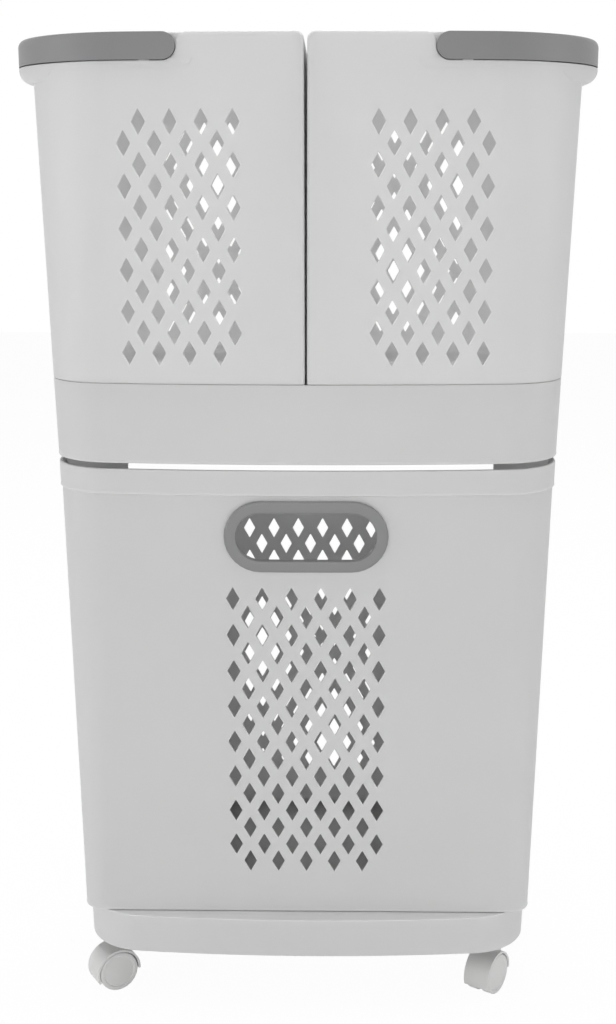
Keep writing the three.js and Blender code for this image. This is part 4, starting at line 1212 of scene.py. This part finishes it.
def hood_mesh(name, heading, x, y):
    """Shroud, web and boss of a caster's hood."""
    half = CASTER_WIDTH / 2
    outside = hood_arc(HOOD_OUTER, HOOD_START, HOOD_END)
    shroud = prism_along_y(outside + hood_arc(HOOD_INNER, HOOD_END, HOOD_START), -half, half)
    upper = hood_arc(HOOD_INNER + 1, HOOD_START, HOOD_END)
    lower = hood_arc(WEB_FOOT, HOOD_END, 360 + HOOD_START)
    web = prism_along_y(upper + lower, -HOOD_WEB / 2, HOOD_WEB / 2)
    boss = round_post(BOSS_RADIUS, WHEEL_RADIUS + 8, HOOD_TOP, 0, 0)
    space, shaft = (
        turned([(radius, -CASTER_WIDTH), (radius, CASTER_WIDTH)]) for radius in (HOOD_INNER, AXLE_HOLE)
    )
    axle = (TRAIL, 0, WHEEL_RADIUS)
    piece = new_object(name, placed(shroud, heading, x, y))
    carve(piece, placed(web, heading, x, y), "UNION", "EXACT")
    boss_piece = new_object("boss", placed(boss, heading, x, y))
    carve(boss_piece, placed(space, heading, x, y, axle), solver="EXACT")
    combine(piece, boss_piece, "UNION", "EXACT")
    carve(piece, round_post(STEM_HOLE, HOOD_TOP - 8, HOOD_TOP + 9, x, y), solver="EXACT")
    carve(piece, placed(shaft, heading, x, y, axle), solver="EXACT")
    return finish_edges(piece, 0.8, 3)


def build_caster(corner, x, y):
    """One caster with its hood and two wheels."""
    joint = next(j for j in frame["joints"] if j["name"] == f"wheel_{corner}_a_spin")
    heading = math.atan2(joint["axis"][1], joint["axis"][0]) - math.pi / 2
    hood = hood_mesh(f"hood_{corner}", heading, x, y)
    dress(hood, f"caster_{corner}", "nylon", white_nylon, f"caster_hood_{corner}")
    for side, sign in (("a", 1), ("b", -1)):
        offset = (TRAIL, sign * (HOOD_WEB / 2 + WHEEL_GAP), WHEEL_RADIUS)
        name = f"wheel_{corner}_{side}"
        wheel = new_object(name, placed(wheel_solid(sign), heading, x, y, offset))
        finish_edges(wheel, 0.1, 1, 60)
        dress(wheel, name, "nylon", white_nylon, f"caster_{name}")


for corner_name, (corner_x, corner_y) in CASTERS.items():
    build_caster(corner_name, corner_x, corner_y)

# %% [markdown]
# ## Floor, light and camera
#
# The picture is a studio shot on white. A wide pale floor and a pale world give soft light from
# all round. Large lamps overhead and behind light the rims and the insides, a low one in front
# lights the walls, and one on each side keeps the corners from going dark. Nothing is brighter
# than it needs to be: a colour should come out about as it was written.
#
# The white of the background is not light. Rays that come from the camera, from a mirroring
# surface or through a clear one are shown white, and all others meet the plain floor and world.

# %% Floor and backdrop
FLOOR_HALF = 6000.0
FLOOR_WHITE = 0.97  # the rest is the painted floor, whose shadow stays visible


def shown_white(tree):
    """1 for the rays that show the background: the camera's, mirrored ones and clear ones."""
    rays = add_node(tree, "ShaderNodeLightPath").outputs
    total = rays["Is Camera Ray"]
    for kind in ("Is Transmission Ray", "Is Glossy Ray"):
        either = {0: total, 1: rays[kind]}
        total = add_node(tree, "ShaderNodeMath", links=either, operation="MAXIMUM").outputs[0]
    return total


def pale_floor():
    """A wide floor that shows as white and still takes a soft shadow."""
    corners = [(x * FLOOR_HALF, y * FLOOR_HALF, 0) for x, y in ((-1, -1), (1, -1), (1, 1), (-1, 1))]
    floor = new_object("studio_floor", (corners, [(0, 1, 2, 3)]))
    material, tree, _ = new_material("white studio sweep")
    tree.nodes.clear()
    paint = add_node(tree, "ShaderNodeBsdfDiffuse", {"Color": linear("#F4F4F4")}).outputs[0]
    glow = add_node(tree, "ShaderNodeEmission", {"Color": WHITE, "Strength": 1.0}).outputs[0]
    share = spread(tree, shown_white(tree), 0.0, FLOOR_WHITE)
    mixed = add_node(tree, "ShaderNodeMixShader", links={0: share, 1: paint, 2: glow})
    add_node(tree, "ShaderNodeOutputMaterial", links={"Surface": mixed.outputs[0]})
    floor.data.materials.append(material)


pale_floor()

# %% World and lamps
WORLD_LEVEL = 0.27
# Place and size of each square lamp in millimetres, and its watts.
LAMPS = {
    "overhead": ((0, 0, 2600), 1600, 33),
    "behind": ((0, 1800, 2400), 1400, 28),
    "front": ((0, -2000, 200), 1400, 16),
    "left": ((-2200, -600, 900), 1400, 11),
    "right": ((2200, -600, 900), 1400, 8),
}


def white_world(level):
    """A plain pale world that shows as white behind the object."""
    world = bpy.data.worlds.new("white studio")
    world.use_nodes = True
    bpy.context.scene.world = world
    tree = world.node_tree
    tree.nodes.clear()
    strength = spread(tree, shown_white(tree), level, 1.0)
    glow = add_node(tree, "ShaderNodeBackground", {"Color": WHITE}, {"Strength": strength})
    add_node(tree, "ShaderNodeOutputWorld", links={"Surface": glow.outputs[0]})


def soft_lamp(name, place, size, watts):
    """A large square lamp that looks at the middle of the hamper."""
    light = bpy.data.lights.new(name, "AREA")
    light.energy = watts
    light.size = size * MM
    lamp = bpy.data.objects.new(name, light)
    lamp.location = Vector(place) * MM
    aim = Vector((0, 0, RIM_TOP / 2)) * MM - lamp.location
    lamp.rotation_euler = aim.to_track_quat("-Z", "Y").to_euler()
    bpy.context.scene.collection.objects.link(lamp)


white_world(WORLD_LEVEL)
for lamp_name, facts in LAMPS.items():
    soft_lamp(lamp_name, *facts)

# %% Camera
LENS_PX = 1500.0
PICTURE_HEIGHT_PX = 1024.0
SENSOR = 36.0
CAMERA_PLACE = (20.85, -1367.5, 736.0)
CAMERA_DIP = 0.2185  # radians below the horizon
CAMERA_TURN = 0.0156  # radians to the left


def place_camera():
    """The camera of the picture: just above the middle of the hamper, tilted down a little."""
    data = bpy.data.cameras.new("camera")
    data.sensor_width = SENSOR
    data.lens = LENS_PX / PICTURE_HEIGHT_PX * SENSOR
    data.clip_start = 0.05
    camera = bpy.data.objects.new("camera", data)
    camera.location = Vector(CAMERA_PLACE) * MM
    camera.rotation_euler = (math.pi / 2 - CAMERA_DIP, 0, CAMERA_TURN)
    bpy.context.scene.collection.objects.link(camera)
    bpy.context.scene.camera = camera


place_camera()
bpy.context.scene.view_settings.view_transform = "Standard"
